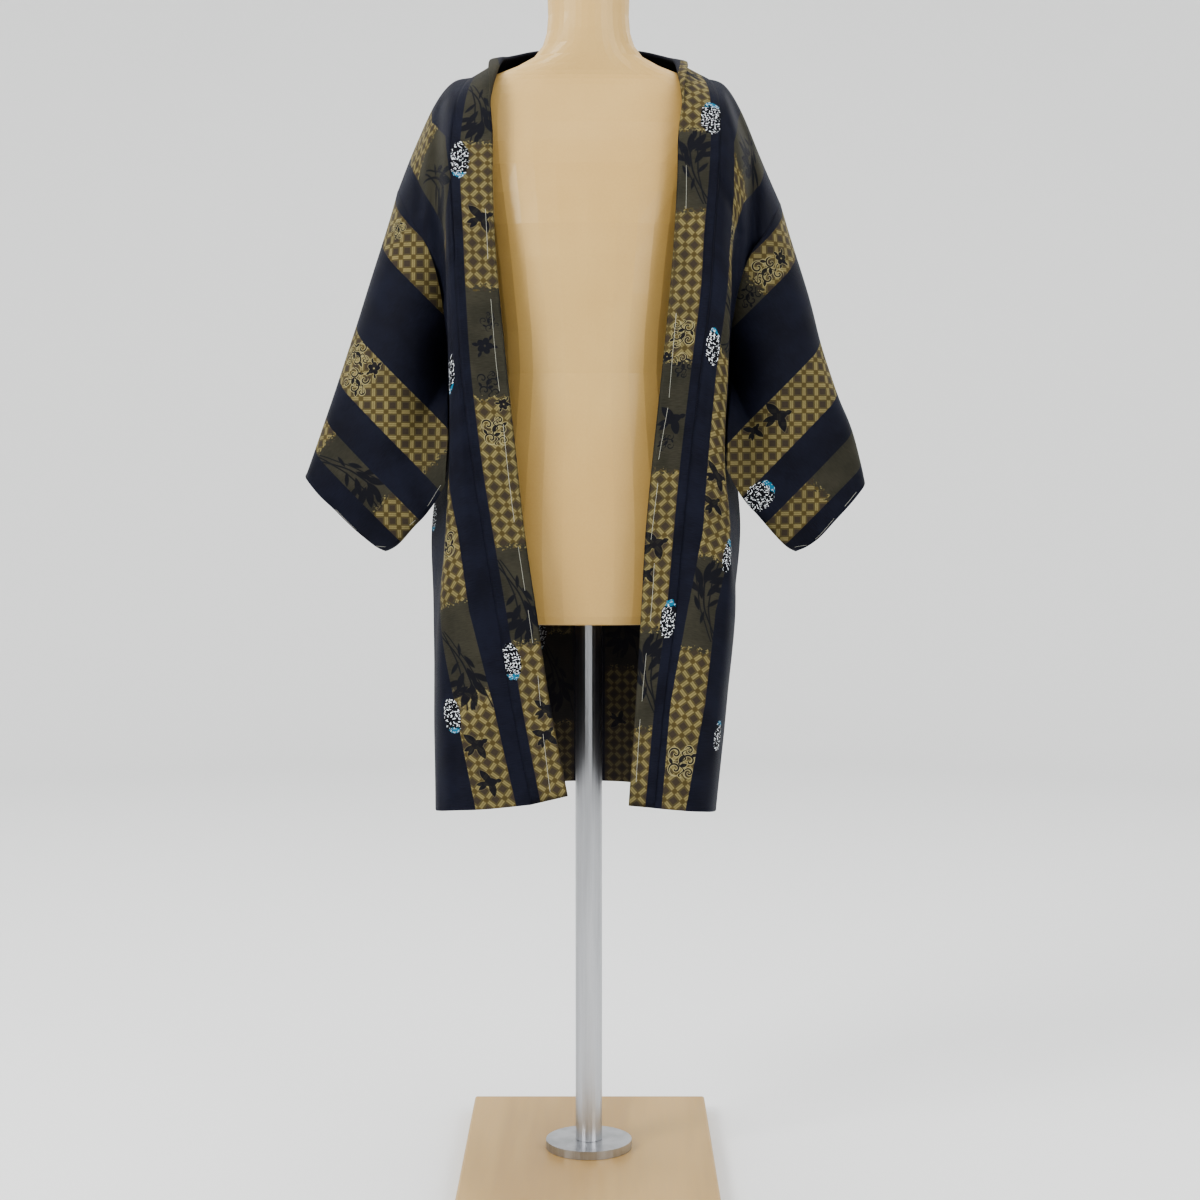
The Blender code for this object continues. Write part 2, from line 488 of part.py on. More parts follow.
def build_stand():
    bpy.ops.mesh.primitive_cube_add(size=1, location=(0, 0, BOARD_THICK / 2))
    board = bpy.context.object
    board.name = "base_board"
    board.scale = (BOARD_WIDTH, BOARD_DEPTH, BOARD_THICK)
    bpy.ops.object.transform_apply(location=True, scale=True)
    edge = board.modifiers.new("Edge", "BEVEL")
    edge.width = BOARD_EDGE
    edge.segments = 2
    claim(board)
    colour(board, "board")

    low = BOARD_THICK + TOUCHING
    bpy.ops.mesh.primitive_cylinder_add(
        vertices=FLANGE_SIDES, radius=POLE_FLANGE_RADIUS, depth=POLE_FLANGE_THICK,
        location=(0, 0, low + POLE_FLANGE_THICK / 2))
    flange = bpy.context.object
    flange.name = "pole_flange"
    claim(flange)
    colour(flange, "pole")

    foot = low + POLE_FLANGE_THICK + TOUCHING
    top = FORM[0].z * CM - TOUCHING
    bpy.ops.mesh.primitive_cylinder_add(
        vertices=POLE_SIDES, radius=POLE_RADIUS, depth=top - foot, location=(0, 0, (top + foot) / 2))
    pole = bpy.context.object
    pole.name = "pole"
    claim(pole)
    colour(pole, "pole")


def claim(thing):
    """Puts an object that an operator made into the garment's collection."""
    for collection in list(thing.users_collection):
        collection.objects.unlink(thing)
    parts.objects.link(thing)


for old in list(bpy.data.objects):
    bpy.data.objects.remove(old, do_unlink=True)
parts = bpy.data.collections.new("haori_on_dress_form")
bpy.context.scene.collection.children.link(parts)

for side in (RIGHT, LEFT):
    build_body_panel(side)
    build_gusset(side)
    build_sleeve(side)
build_collar()
build_form()
build_stand()
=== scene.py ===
import math
from collections import namedtuple

import bpy
import numpy as np
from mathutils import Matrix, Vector, noise


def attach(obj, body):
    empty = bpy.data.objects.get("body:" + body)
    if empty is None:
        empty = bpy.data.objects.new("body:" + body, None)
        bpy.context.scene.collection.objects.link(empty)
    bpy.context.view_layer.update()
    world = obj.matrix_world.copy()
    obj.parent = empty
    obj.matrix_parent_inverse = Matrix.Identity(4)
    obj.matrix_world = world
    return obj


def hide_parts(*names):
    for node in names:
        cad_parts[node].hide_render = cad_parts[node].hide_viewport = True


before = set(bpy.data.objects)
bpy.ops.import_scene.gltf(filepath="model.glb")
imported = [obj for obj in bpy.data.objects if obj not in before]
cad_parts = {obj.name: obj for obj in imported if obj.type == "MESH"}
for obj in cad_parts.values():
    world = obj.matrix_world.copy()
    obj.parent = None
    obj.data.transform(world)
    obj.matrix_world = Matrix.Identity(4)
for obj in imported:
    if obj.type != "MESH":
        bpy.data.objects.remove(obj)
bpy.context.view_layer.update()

# %% [markdown]
# # A haori jacket on a dress form
#
# The jacket is narrow-loom silk: two body panels that run unbroken from the front hem over the
# shoulder to the back hem, two sleeves, a wedge under each arm and one long folded collar. It hangs
# open on a limbless form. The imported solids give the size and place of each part, and this file
# gives them cloth that hangs, with its woven bands, leaves, birds and snowy roundels.
#
# +X is the wearer's left, +Y is behind the wearer and +Z is up. Tables are in centimetres, with x
# as the distance outward from the middle on either side, and every mesh is in metres.

# %% Sizes that all the pieces share
CM = 0.01
RIGHT, LEFT = -1, 1
SIDE_NAMES = {RIGHT: "right", LEFT: "left"}

CLOTH = 0.0016            # thickness of one layer of body or sleeve, in metres
SEAM_GAP = 0.02           # cm between two edges that are sewn together
ARMHOLE_LIFT = 0.04       # cm that the sleeve starts outside the armhole's edge
print("cloth", CLOTH * 1000, "mm thick; gap at a seam", SEAM_GAP * 10, "mm")

# %% [markdown]
# ## The rows that shape a body panel
#
# A garment is easiest to describe as a stack of rows across the cloth. Each row has five points,
# from the collar seam (or the neckline, or the centre back seam) round to the side, and a smooth
# curve runs through them. A second smooth curve joins the rows, so about a hundred points give the
# whole drape. The solids were made from the same rows, which is why the cloth lands on them.

# %% Body rows, from the front hem over the shoulder to the back hem
COLUMNS = ("inner", "near", "corner", "hollow", "outer")
PLACES = (
    "front hem", "front knee", "front thigh", "front hip", "front waist", "front ribs", "front bust",
    "front armpit", "front chest", "front neck", "shoulder front", "shoulder top", "shoulder back",
    "nape side", "nape", "blade", "upper back", "middle back", "back waist", "back hip", "back thigh",
    "back knee", "back hem",
)
# a line for each place: the five columns' points, each outward, behind and up in cm
PANEL_ROWS = {
    RIGHT: [
        (6.5, -13.2, 45.9, 11.0, -13.5, 45.5, 16.5, -12.0, 45.0, 17.7, -7.4, 44.4, 17.8, -2.5, 44.0),
        (8.7, -13.0, 57.5, 12.3, -13.3, 57.3, 16.7, -11.6, 57.1, 17.8, -7.2, 57.0, 18.1, -2.0, 57.0),
        (10.4, -12.8, 68.0, 13.2, -13.1, 68.0, 16.5, -11.6, 68.0, 17.4, -7.2, 68.0, 18.3, -1.6, 68.0),
        (11.9, -12.7, 77.0, 13.9, -12.9, 77.0, 16.1, -11.6, 77.0, 16.0, -7.2, 77.0, 18.5, -1.2, 77.0),
        (13.2, -12.6, 85.5, 14.4, -12.7, 85.5, 15.7, -11.5, 85.5, 14.9, -7.6, 85.5, 17.4, -0.8, 85.5),
        (14.3, -12.4, 95.0, 15.0, -12.2, 95.0, 15.7, -11.0, 95.0, 15.2, -7.4, 95.0, 16.7, -0.6, 95.4),
        (14.9, -11.8, 104.0, 15.5, -11.4, 104.0, 16.0, -10.2, 103.8, 15.7, -7.0, 103.4, 16.9, -3.6, 102.8),
        (15.2, -11.2, 110.5, 15.8, -10.7, 110.3, 16.2, -9.3, 110.0, 16.6, -7.2, 109.4, 18.2, -5.0, 108.8),
        (15.6, -9.4, 117.0, 16.3, -8.9, 116.4, 17.0, -8.0, 115.6, 18.4, -6.2, 114.3, 20.4, -4.2, 112.6),
        (15.6, -7.3, 122.5, 16.6, -6.7, 121.7, 17.9, -5.9, 120.2, 19.7, -4.4, 118.0, 21.7, -2.6, 115.2),
        (14.9, -4.2, 127.2, 16.5, -3.6, 126.3, 18.2, -3.1, 124.0, 20.2, -2.2, 120.4, 22.3, -0.6, 116.4),
        (13.6, 1.0, 130.0, 16.0, 1.0, 129.4, 18.1, 1.0, 126.8, 20.5, 1.2, 121.7, 22.5, 1.6, 116.8),
        (11.5, 5.2, 130.5, 15.2, 5.0, 129.0, 18.1, 4.8, 125.2, 20.3, 4.4, 120.4, 22.3, 3.8, 116.2),
        (6.5, 8.0, 130.9, 12.5, 8.0, 128.0, 17.0, 7.6, 123.6, 19.6, 6.6, 119.0, 21.7, 5.4, 115.0),
        (0.0, 9.0, 131.0, 9.5, 9.8, 126.0, 15.6, 9.2, 121.2, 18.2, 8.0, 116.8, 20.3, 6.6, 112.6),
        (0.0, 10.9, 122.5, 8.5, 11.2, 119.8, 14.2, 10.3, 116.4, 16.6, 8.9, 112.8, 18.2, 7.0, 108.8),
        (0.0, 11.9, 113.0, 8.4, 11.8, 112.0, 14.0, 10.6, 109.8, 15.9, 8.6, 106.6, 16.9, 5.2, 102.8),
        (0.0, 12.2, 103.0, 8.6, 12.0, 102.4, 14.2, 10.6, 100.8, 16.0, 7.4, 98.4, 16.7, 1.6, 95.4),
        (0.0, 12.3, 92.0, 8.9, 12.1, 91.6, 14.6, 10.8, 90.8, 16.5, 7.0, 89.6, 17.1, 1.8, 88.4),
        (0.0, 13.0, 80.0, 9.2, 12.8, 79.8, 15.2, 11.4, 79.4, 17.4, 7.6, 79.0, 18.2, 2.2, 78.6),
        (0.0, 14.2, 68.0, 9.5, 14.0, 68.0, 15.8, 12.4, 68.0, 17.9, 8.2, 68.0, 18.3, 2.6, 68.0),
        (0.0, 15.4, 56.0, 9.8, 15.2, 56.0, 16.2, 13.4, 56.0, 18.0, 8.8, 56.0, 18.2, 3.0, 56.0),
        (0.0, 16.4, 44.3, 10.0, 16.2, 44.2, 16.4, 14.2, 44.0, 18.0, 9.4, 43.8, 18.0, 3.6, 43.7),
    ],
    LEFT: [
        (7.6, -13.2, 45.5, 10.2, -13.5, 45.3, 13.6, -12.2, 44.9, 14.8, -7.4, 44.3, 14.8, -2.5, 43.9),
        (8.7, -13.0, 57.5, 11.5, -13.3, 57.4, 14.8, -12.0, 57.2, 16.0, -7.2, 57.0, 16.0, -2.0, 57.0),
        (10.0, -12.8, 68.0, 12.6, -13.1, 68.0, 15.8, -11.9, 68.0, 17.0, -7.2, 68.0, 17.1, -1.6, 68.0),
        (10.8, -12.7, 77.0, 13.1, -12.9, 77.0, 16.0, -11.7, 77.0, 16.2, -7.2, 77.0, 17.9, -1.2, 77.0),
        (11.6, -12.6, 85.5, 13.4, -12.7, 85.5, 15.4, -11.5, 85.5, 14.8, -7.6, 85.5, 17.2, -0.8, 85.5),
        (12.7, -12.4, 95.0, 14.2, -12.3, 95.0, 15.8, -11.0, 95.0, 15.3, -7.4, 95.0, 16.7, -0.6, 95.0),
        (13.8, -11.8, 104.0, 15.0, -11.5, 104.0, 16.2, -10.2, 103.8, 15.9, -7.0, 103.2, 16.9, -3.6, 102.2),
        (14.2, -11.2, 110.5, 15.3, -10.8, 110.2, 16.3, -9.4, 109.8, 16.8, -7.2, 109.0, 18.3, -5.0, 107.9),
        (14.8, -9.4, 117.0, 15.8, -9.0, 116.5, 16.9, -8.1, 115.4, 18.4, -6.2, 113.6, 20.5, -4.2, 111.3),
        (15.1, -7.3, 122.5, 16.2, -6.8, 121.8, 17.6, -5.9, 120.0, 19.6, -4.4, 117.2, 21.8, -2.6, 113.8),
        (15.0, -4.2, 127.0, 16.4, -3.6, 126.0, 18.0, -3.1, 123.4, 20.1, -2.2, 119.4, 22.4, -0.6, 115.0),
        (13.9, 1.0, 129.9, 16.0, 1.0, 129.1, 18.0, 1.0, 126.0, 20.3, 1.2, 120.6, 22.6, 1.6, 115.4),
        (11.6, 5.2, 130.5, 15.2, 5.0, 128.8, 18.0, 4.8, 124.4, 20.2, 4.4, 119.4, 22.4, 3.8, 114.8),
        (6.5, 8.0, 130.9, 12.5, 8.0, 127.9, 17.0, 7.6, 123.0, 19.6, 6.6, 118.2, 21.8, 5.4, 113.7),
        (0.0, 9.0, 131.0, 9.5, 9.8, 126.0, 15.6, 9.2, 120.8, 18.2, 8.0, 116.2, 20.4, 6.6, 111.4),
        (0.0, 10.9, 122.5, 8.5, 11.2, 119.8, 14.2, 10.3, 116.2, 16.6, 8.9, 112.2, 18.3, 7.0, 107.9),
        (0.0, 11.9, 113.0, 8.4, 11.8, 112.0, 14.0, 10.6, 109.6, 15.9, 8.6, 106.2, 16.9, 5.2, 102.2),
        (0.0, 12.2, 103.0, 8.6, 12.0, 102.4, 14.2, 10.6, 100.8, 16.0, 7.4, 98.4, 16.7, 1.6, 95.0),
        (0.0, 12.3, 92.0, 8.9, 12.1, 91.6, 14.6, 10.8, 90.8, 16.5, 7.0, 89.6, 17.0, 1.8, 88.2),
        (0.0, 13.0, 80.0, 9.2, 12.8, 79.8, 15.2, 11.4, 79.4, 17.2, 7.6, 79.0, 17.7, 2.2, 78.6),
        (0.0, 14.2, 68.0, 9.3, 14.0, 68.0, 15.2, 12.4, 68.0, 16.9, 8.2, 68.0, 17.1, 2.6, 68.0),
        (0.0, 15.4, 56.0, 9.0, 15.2, 56.0, 14.4, 13.4, 56.0, 15.9, 8.8, 56.0, 15.9, 3.0, 56.0),
        (0.0, 16.4, 44.3, 8.6, 16.2, 44.2, 13.4, 14.2, 44.0, 14.8, 9.4, 43.8, 14.8, 3.6, 43.6),
    ],
}
PANELS = {side: np.reshape(rows, (len(PLACES), len(COLUMNS), 3)) for side, rows in PANEL_ROWS.items()}
SHARE = {place: index / (len(PLACES) - 1) for index, place in enumerate(PLACES)}
print("rows in a body panel:", len(PLACES))

# %% Collar rows, from the front hem to the nape, beside the body's rows
Roll = namedtuple("Roll", "roll edge")
# where the collar lies flat, a row gives its free edge alone; where it turns over, its roll line too
FLAT_EDGES = {
    RIGHT: [
        (2.3, -13.3, 46.9), (4.4, -13.1, 58.0), (5.9, -12.9, 68.3), (7.2, -12.8, 77.2), (8.1, -12.7, 85.6),
        (9.1, -12.5, 95.0), (10.0, -11.9, 103.9), (10.5, -11.4, 110.3), (10.8, -9.8, 116.9),
        (10.9, -7.7, 122.5),
    ],
    LEFT: [
        (4.6, -13.3, 45.8), (5.4, -13.1, 57.6), (6.0, -12.9, 68.0), (6.5, -12.8, 77.0), (7.3, -12.7, 85.5),
        (8.3, -12.5, 95.0), (9.2, -11.9, 104.0), (9.7, -11.4, 110.5), (10.1, -9.8, 117.0),
        (10.3, -7.7, 122.5),
    ],
}
ROLLED = {
    RIGHT: [
        Roll((11.0, -4.4, 128.6), (11.5, -4.9, 128.9)), Roll((10.2, 0.8, 132.0), (11.7, 1.2, 132.1)),
        Roll((9.2, 4.3, 133.0), (11.0, 5.5, 132.8)), Roll((5.6, 7.0, 134.2), (6.9, 9.2, 133.3)),
        Roll((0.0, 8.3, 134.4), (0.0, 10.6, 133.0)),
    ],
    LEFT: [
        Roll((10.7, -4.4, 128.4), (11.2, -4.9, 128.7)), Roll((10.2, 0.8, 131.7), (11.7, 1.2, 131.8)),
        Roll((9.2, 4.3, 132.9), (11.0, 5.5, 132.7)), Roll((5.6, 7.0, 134.2), (6.9, 9.2, 133.3)),
        Roll((0.0, 8.3, 134.4), (0.0, 10.6, 133.0)),
    ],
}
COLLARS = {side: [Roll(None, edge) for edge in FLAT_EDGES[side]] + ROLLED[side] for side in (RIGHT, LEFT)}
FLAT_ROLL_SHARE = 0.28      # where the collar lies flat, its roll line as a share from edge to seam
COLLAR_MIDDLE_SHARE = 0.52  # the point between seam and roll that shapes the collar's stand
print("rows in each half of the collar:", len(COLLARS[RIGHT]))

# %% Sleeves as they hang, and the soft folds of the back
Sleeve = namedtuple("Sleeve", "ridge hem cuff free_front free_back")
SLEEVES = {
    RIGHT: Sleeve(
        ridge=[
            (22.4, 1.6, 116.8), (24.4, 1.6, 109.7), (27.6, 1.4, 100.5), (29.7, 1.1, 94.4),
            (31.4, 0.8, 89.5), (32.8, 0.5, 85.4), (33.6, 0.3, 83.1),
        ],
        hem=[
            (16.5, -7.2, 82.4), (18.4, -5.4, 79.4), (20.4, -3.6, 77.4), (22.6, -1.8, 75.2),
            (24.4, -0.6, 74.2),
        ],
        cuff=[(33.6, 83.1), (31.7, 80.9), (30.1, 79.4), (27.6, 76.9), (24.4, 74.2)],
        free_front=[(16.5, -3.4, 91.5), (16.3, -5.8, 87.0)],
        free_back=[(18.0, -4.4, 83.4), (18.8, -1.2, 84.4), (18.7, 1.6, 87.0), (17.8, 2.6, 91.5)]),
    LEFT: Sleeve(
        ridge=[
            (22.5, 1.6, 115.4), (24.5, 1.6, 109.1), (26.2, 1.4, 104.1), (27.6, 1.1, 98.4),
            (29.5, 0.8, 92.7), (31.2, 0.5, 88.4), (32.8, 0.3, 82.3),
        ],
        hem=[
            (16.0, -7.2, 84.0), (17.7, -5.4, 80.9), (19.9, -3.6, 78.6), (23.1, -1.8, 75.2),
            (24.8, -0.6, 74.2),
        ],
        cuff=[(32.8, 82.3), (31.0, 80.1), (29.1, 78.0), (27.1, 75.8), (24.8, 74.2)],
        free_front=[(16.5, -3.4, 91.5), (16.1, -5.8, 88.0)],
        free_back=[(17.8, -4.4, 84.8), (18.5, -1.2, 85.4), (18.4, 1.6, 87.6), (17.7, 2.6, 91.5)]),
}
SLEEVE_DEPTH_BODY, SLEEVE_DEPTH_CUFF = 6.2, 3.3     # half depths, front to back, in cm
ARMHOLE_REACH = 0.42        # share of the sleeve's length in which it leaves the armhole's shape
SLEEVE_ROUNDNESS = 0.75     # power of the sine that rounds the sleeve's section: lower is fuller
HEM_FLATTENING = 0.62       # how much thinner the section is at the hem than at the ridge

Fold = namedtuple("Fold", "share width depth top")
BACK_FOLDS = [
    Fold(share=0.20, width=0.085, depth=-1.7, top=112.0),
    Fold(share=0.42, width=0.075, depth=-1.4, top=100.0),
    Fold(share=0.63, width=0.080, depth=-1.9, top=106.0),
]
FOLD_FULL_HEIGHT = 46.0     # cm: a fold has its whole depth from here down
GUSSET_BULGE = 0.25         # cm that the wedge under the arm bows outward at the hem
print(len(BACK_FOLDS), "soft folds in each half of the back")

# %% [markdown]
# ## Smooth curves
#
# A Catmull-Rom curve passes through every point it is given, which suits a table of measured
# places better than a Bezier, whose handles would have to be set by eye. Here it works on whole
# numpy arrays, because a sheet of cloth takes tens of thousands of points.

# %% Curve and path helpers
def catmull_rom(points, t):
    """Points of a smooth curve through the given ones, at shares t from 0 to 1 along the list."""
    points, t = np.asarray(points, float), np.atleast_1d(np.asarray(t, float))
    spans = len(points) - 1
    index = np.clip((t * spans).astype(int), 0, spans - 1)
    u = (t * spans - index)[:, None]
    p1, p2 = points[index], points[index + 1]
    p0 = np.where(index[:, None] > 0, points[index - 1], 2 * p1 - p2)
    p3 = np.where(index[:, None] + 2 <= spans, points[np.minimum(index + 2, spans)], 2 * p2 - p1)
    return 0.5 * (2 * p1 + (p2 - p0) * u + (2 * p0 - 5 * p1 + 4 * p2 - p3) * u ** 2
                  + (3 * p1 - p0 - 3 * p2 + p3) * u ** 3)


def smooth_step(low, high, value):
    share = np.clip((np.asarray(value, float) - low) / (high - low), 0.0, 1.0)
    return share * share * (3 - 2 * share)


def lengths_along(points):
    """The distance along a run of points, from its start to each of them."""
    steps = np.linalg.norm(np.diff(points, axis=0), axis=1)
    return np.concatenate([[0.0], np.cumsum(steps)])


def along_path(points, shares):
    """Points at shares of a path's whole length."""
    reached = lengths_along(points)
    wanted = np.asarray(shares) * reached[-1]
    return np.stack([np.interp(wanted, reached, points[:, axis]) for axis in range(3)], axis=1)


print("a curve through 0, 1 and 4 passes", catmull_rom([[0], [1], [4]], 0.5)[0, 0], "half way")

# %% The body panel's surface
def panel_column(side, column, t):
    """One of the five lengthwise lines of a panel. The inner one turns sharply at the nape."""
    points = PANELS[side][:, COLUMNS.index(column)]
    if column != "inner":
        return catmull_rom(points, t)
    corner, turn = PLACES.index("nape"), SHARE["nape"]
    before = catmull_rom(points[:corner + 1], np.minimum(t / turn, 1.0))
    after = catmull_rom(points[corner:], np.maximum((t - turn) / (1 - turn), 0.0))
    return np.where((t <= turn)[:, None], before, after)


def back_fold_depth(across, height, t):
    """How far the soft folds pull the back of the panel in, in cm."""
    depth = np.zeros_like(across)
    for fold in BACK_FOLDS:
        grown = smooth_step(fold.top, FOLD_FULL_HEIGHT, height)
        depth += fold.depth * grown * np.exp(-((across - fold.share) / fold.width) ** 2)
    return depth * smooth_step(SHARE["nape"], SHARE["middle back"], t)


def panel_surface(side, t, across):
    """Points (rows, columns, 3) of a body panel, t along it and across it from the inner edge."""
    lines = [panel_column(side, name, t) for name in COLUMNS]
    grid = np.stack([catmull_rom([line[i] for line in lines], across) for i in range(len(t))])
    grid[..., 1] += back_fold_depth(np.broadcast_to(across, grid.shape[:2]), grid[..., 2], t[:, None])
    return grid


def trim_edge(edge, inside, length):
    """An edge's points, moved a length in cm towards the points inside it."""
    way = inside - edge
    return edge + way / np.linalg.norm(way, axis=-1, keepdims=True) * length


def body_shares(count):
    """Shares along the panel where its rows of faces lie, one of them exactly at the nape."""
    turn = SHARE["nape"]
    front = round(count * turn)
    return np.concatenate([np.linspace(0, turn, front, endpoint=False),
                           np.linspace(turn, 1, count - front + 1)])


probe = panel_surface(LEFT, np.array([0.0, 0.5, 1.0]), np.linspace(0, 1, 5))
print("left panel reaches", *probe[..., [0, 2]].max(axis=(0, 1)).round(1), "cm out and up")

# %% [markdown]
# ## Turning a surface into cloth
#
# A sheet of cloth is one surface with a thickness. The grid of points becomes a mesh of quads, its
# coordinates along the weave go into UV maps, and a Solidify modifier gives it an inner side. The
# UV maps are in centimetres of cloth, so a woven pattern keeps its size wherever the cloth bends.
# Solidify puts the inner side and the cut edges on a second material, the wrong side of the weave.

# %% Mesh helpers
garment = bpy.data.collections.new("haori")
bpy.context.scene.collection.children.link(garment)
CREASE_ANGLE = math.radians(50)     # faces that meet at less than this are shaded smooth


def to_world(side, grid):
    """Table points in cm, outward on one side, as world points in metres."""
    return grid * np.array([side * CM, CM, CM])


def corner_values(values):
    """Per-point values (rows, columns, n) as one value for each corner of each quad."""
    quads = [values[:-1, :-1], values[:-1, 1:], values[1:, 1:], values[1:, :-1]]
    return np.stack(quads, axis=2).reshape(-1, values.shape[-1])


def new_piece(name, points, faces):
    """A mesh object from points and faces, in the garment's collection."""
    mesh = bpy.data.meshes.new(name)
    mesh.from_pydata(points, [], faces)
    mesh.update()
    piece = bpy.data.objects.new(name, mesh)
    garment.objects.link(piece)
    return piece


def cloth_mesh(name, points, closed_across=False):
    """A mesh of quads from a grid (rows, columns, 3). Closed across, the last column is the first."""
    rows, columns = points.shape[:2]
    width = columns - 1 if closed_across else columns
    index = np.arange(rows)[:, None] * width + np.arange(columns)[None, :] % width
    quads = corner_values(index[..., None]).reshape(-1, 4)
    return new_piece(name, points[:, :width].reshape(-1, 3).tolist(), quads.tolist())


def add_map(piece, name, corners):
    """Writes a UV map from one (u, v) for each corner of each quad."""
    layer = piece.data.uv_layers.new(name=name)
    layer.data.foreach_set("uv", np.asarray(corners, np.float32).ravel())


def only(piece):
    """Makes this the one selected and active object, for an operator that acts on the selection."""
    bpy.ops.object.select_all(action="DESELECT")
    piece.select_set(True)
    bpy.context.view_layer.objects.active = piece


def outward(piece, away_from):
    """Turns the faces so that the mean normal points away from a place inside the garment."""
    mesh = piece.data
    count = len(mesh.polygons)
    normals, centres = np.empty(count * 3), np.empty(count * 3)
    mesh.polygons.foreach_get("normal", normals)
    mesh.polygons.foreach_get("center", centres)
    way = centres.reshape(-1, 3) - np.array(away_from)
    if (normals.reshape(-1, 3) * way).sum() < 0:
        mesh.flip_normals()


def give_thickness(piece, thickness):
    solid = piece.modifiers.new("Cloth", "SOLIDIFY")
    solid.thickness = thickness
    solid.offset = 0
    solid.material_offset = 1
    solid.material_offset_rim = 1
    only(piece)
    bpy.ops.object.modifier_apply(modifier=solid.name)
    bpy.ops.object.shade_smooth_by_angle(angle=CREASE_ANGLE)
    print(piece.name, "has", len(piece.data.polygons), "faces")


print("cloth goes into the collection", garment.name)

# %% [markdown]
# ## Creases and the life of the cloth
#
# Silk on a form is never a clean loft: it breaks over the shoulder, pleats where the hand has
# pushed it and ripples a little all over. Folds that have a place come from a table of lines, each
# pushing the cloth in or out across a soft width. The small ripples come from smooth noise, which
# gives the same ripples on each run.

# %% Creases of the fronts, and ripples
Crease = namedtuple("Crease", "side line width depth")
# outward x and z along the fold; depth in cm is forward where it is positive
CREASES = [
    Crease(RIGHT, [(15.9, 127.5), (16.0, 118.0), (15.6, 108.0)], 0.9, 0.3),
    Crease(RIGHT, [(17.2, 126.5), (17.5, 120.0), (17.2, 112.0), (16.9, 104.0)], 0.8, -0.85),
    Crease(RIGHT, [(19.6, 121.0), (19.3, 114.0)], 0.7, -0.35),
    Crease(RIGHT, [(18.6, 68.0), (17.6, 57.0), (16.9, 46.0)], 0.8, -0.45),
    Crease(RIGHT, [(13.5, 70.0), (13.0, 58.0), (12.4, 46.0)], 1.6, 0.22),
    Crease(RIGHT, [(15.6, 76.0), (15.3, 62.0), (14.9, 46.0)], 0.5, -0.22),
    Crease(LEFT, [(15.4, 128.6), (17.2, 121.4), (17.6, 116.4), (17.7, 110.0), (17.0, 102.0)], 0.6, 0.38),
    Crease(LEFT, [(16.9, 127.4), (18.7, 121.2), (19.1, 115.8), (19.1, 110.0), (18.4, 102.0)], 0.8, -1.2),
    Crease(LEFT, [(15.0, 116.6), (17.3, 111.0)], 0.5, -0.3),
    Crease(LEFT, [(14.9, 85.0), (15.3, 73.0), (13.8, 46.0)], 1.0, -0.3),
    Crease(LEFT, [(12.9, 74.0), (12.4, 60.0), (11.8, 46.0)], 0.9, 0.18),
]
RIPPLES = [(9.0, 0.10), (3.4, 0.035)]          # (length, depth) in cm: long soft waves and shorter ones
RIPPLE_SQUEEZE = np.array([1.0, 1.0, 0.45])    # below 1 upwards, so ripples run longer down the cloth


def distance_to_line(points, line):
    """The distance in the (x, z) plane from points (..., 2) to a run of straight stretches."""
    best = np.full(points.shape[:-1], np.inf)
    for start, end in zip(np.array(line[:-1], float), np.array(line[1:], float)):
        along = end - start
        share = np.clip(((points - start) @ along) / (along @ along), 0, 1)
        best = np.minimum(best, np.linalg.norm(points - start - share[..., None] * along, axis=-1))
    return best


def crease_depth(side, grid, front):
    """How far forward the creases push each point in cm; front is 1 on the front of the jacket."""
    total = np.zeros(grid.shape[:-1])
    for crease in CREASES:
        if crease.side == side:
            near = distance_to_line(grid[..., [0, 2]], crease.line)
            total += crease.depth * np.exp(-(near / crease.width) ** 2)
    return total * front


def ripples(grid, seed):
    """Smooth noise in cm over the points."""
    flat = grid.reshape(-1, 3)
    total = np.zeros(len(flat))
    for length, depth in RIPPLES:
        places = flat * RIPPLE_SQUEEZE / length + seed
        total += depth * np.array([noise.noise(Vector(place)) for place in places])
    return total.reshape(grid.shape[:-1])


def normals_of(grid):
    """Unit normals of a grid surface."""
    lengthwise, crosswise = np.gradient(grid, axis=0), np.gradient(grid, axis=1)
    normal = np.cross(lengthwise, crosswise)
    return normal / np.maximum(np.linalg.norm(normal, axis=-1, keepdims=True), 1e-9)


print(len(CREASES), "placed creases")

# %% [markdown]
# ## Where the woven bands fall
#
# The cloth is striped along its length. On the back, a point's distance from the centre seam tells
# which stripe it is in. On the front, part of the width is turned under the collar, so a short
# table gives, row by row, how far from the collar seam a band begins and ends. The lengthwise
# coordinate is the arc from the shoulder, so the front hem and the back hem are on the grain.

# %% Cloth coordinates of a body panel
WIDE_BAND, NARROW_BAND = (15.4, 21.0), (2.0, 6.5)     # cm across the cloth, from edge to edge
WIDE_MIDDLE = sum(WIDE_BAND) / 2
FRONT_LENGTH, BACK_LENGTH = 88.0, 92.0      # cm from the shoulder to each hem
LEVEL_FROM = 0.5     # from this share of the back down, the weft lies level as the hem does

# cm across the cloth from the collar seam to the wide band's two edges, hem first
BAND_STARTS = {
    RIGHT: [
        (1.7, 6.3), (2.1, 6.5), (3.1, 7.4), (2.9, 7.2), (3.4, 8.4), (3.6, 8.6), (3.0, 7.6), (1.6, 1.8),
        (0.0, 4.5), (0.9, 7.1), (4.7, 10.2), (6.2, 11.8), (6.4, 11.6), (9.0, 14.6), (15.4, 21.0),
    ],
    LEFT: [
        (0.8, 3.5), (0.7, 4.6), (1.3, 4.5), (2.2, 6.0), (2.0, 6.0), (1.8, 6.2), (2.1, 6.0), (2.7, 3.4),
        (2.4, 4.6), (2.1, 8.1), (3.6, 10.3), (5.6, 11.4), (6.2, 11.4), (9.0, 14.6), (15.4, 21.0),
    ],
}


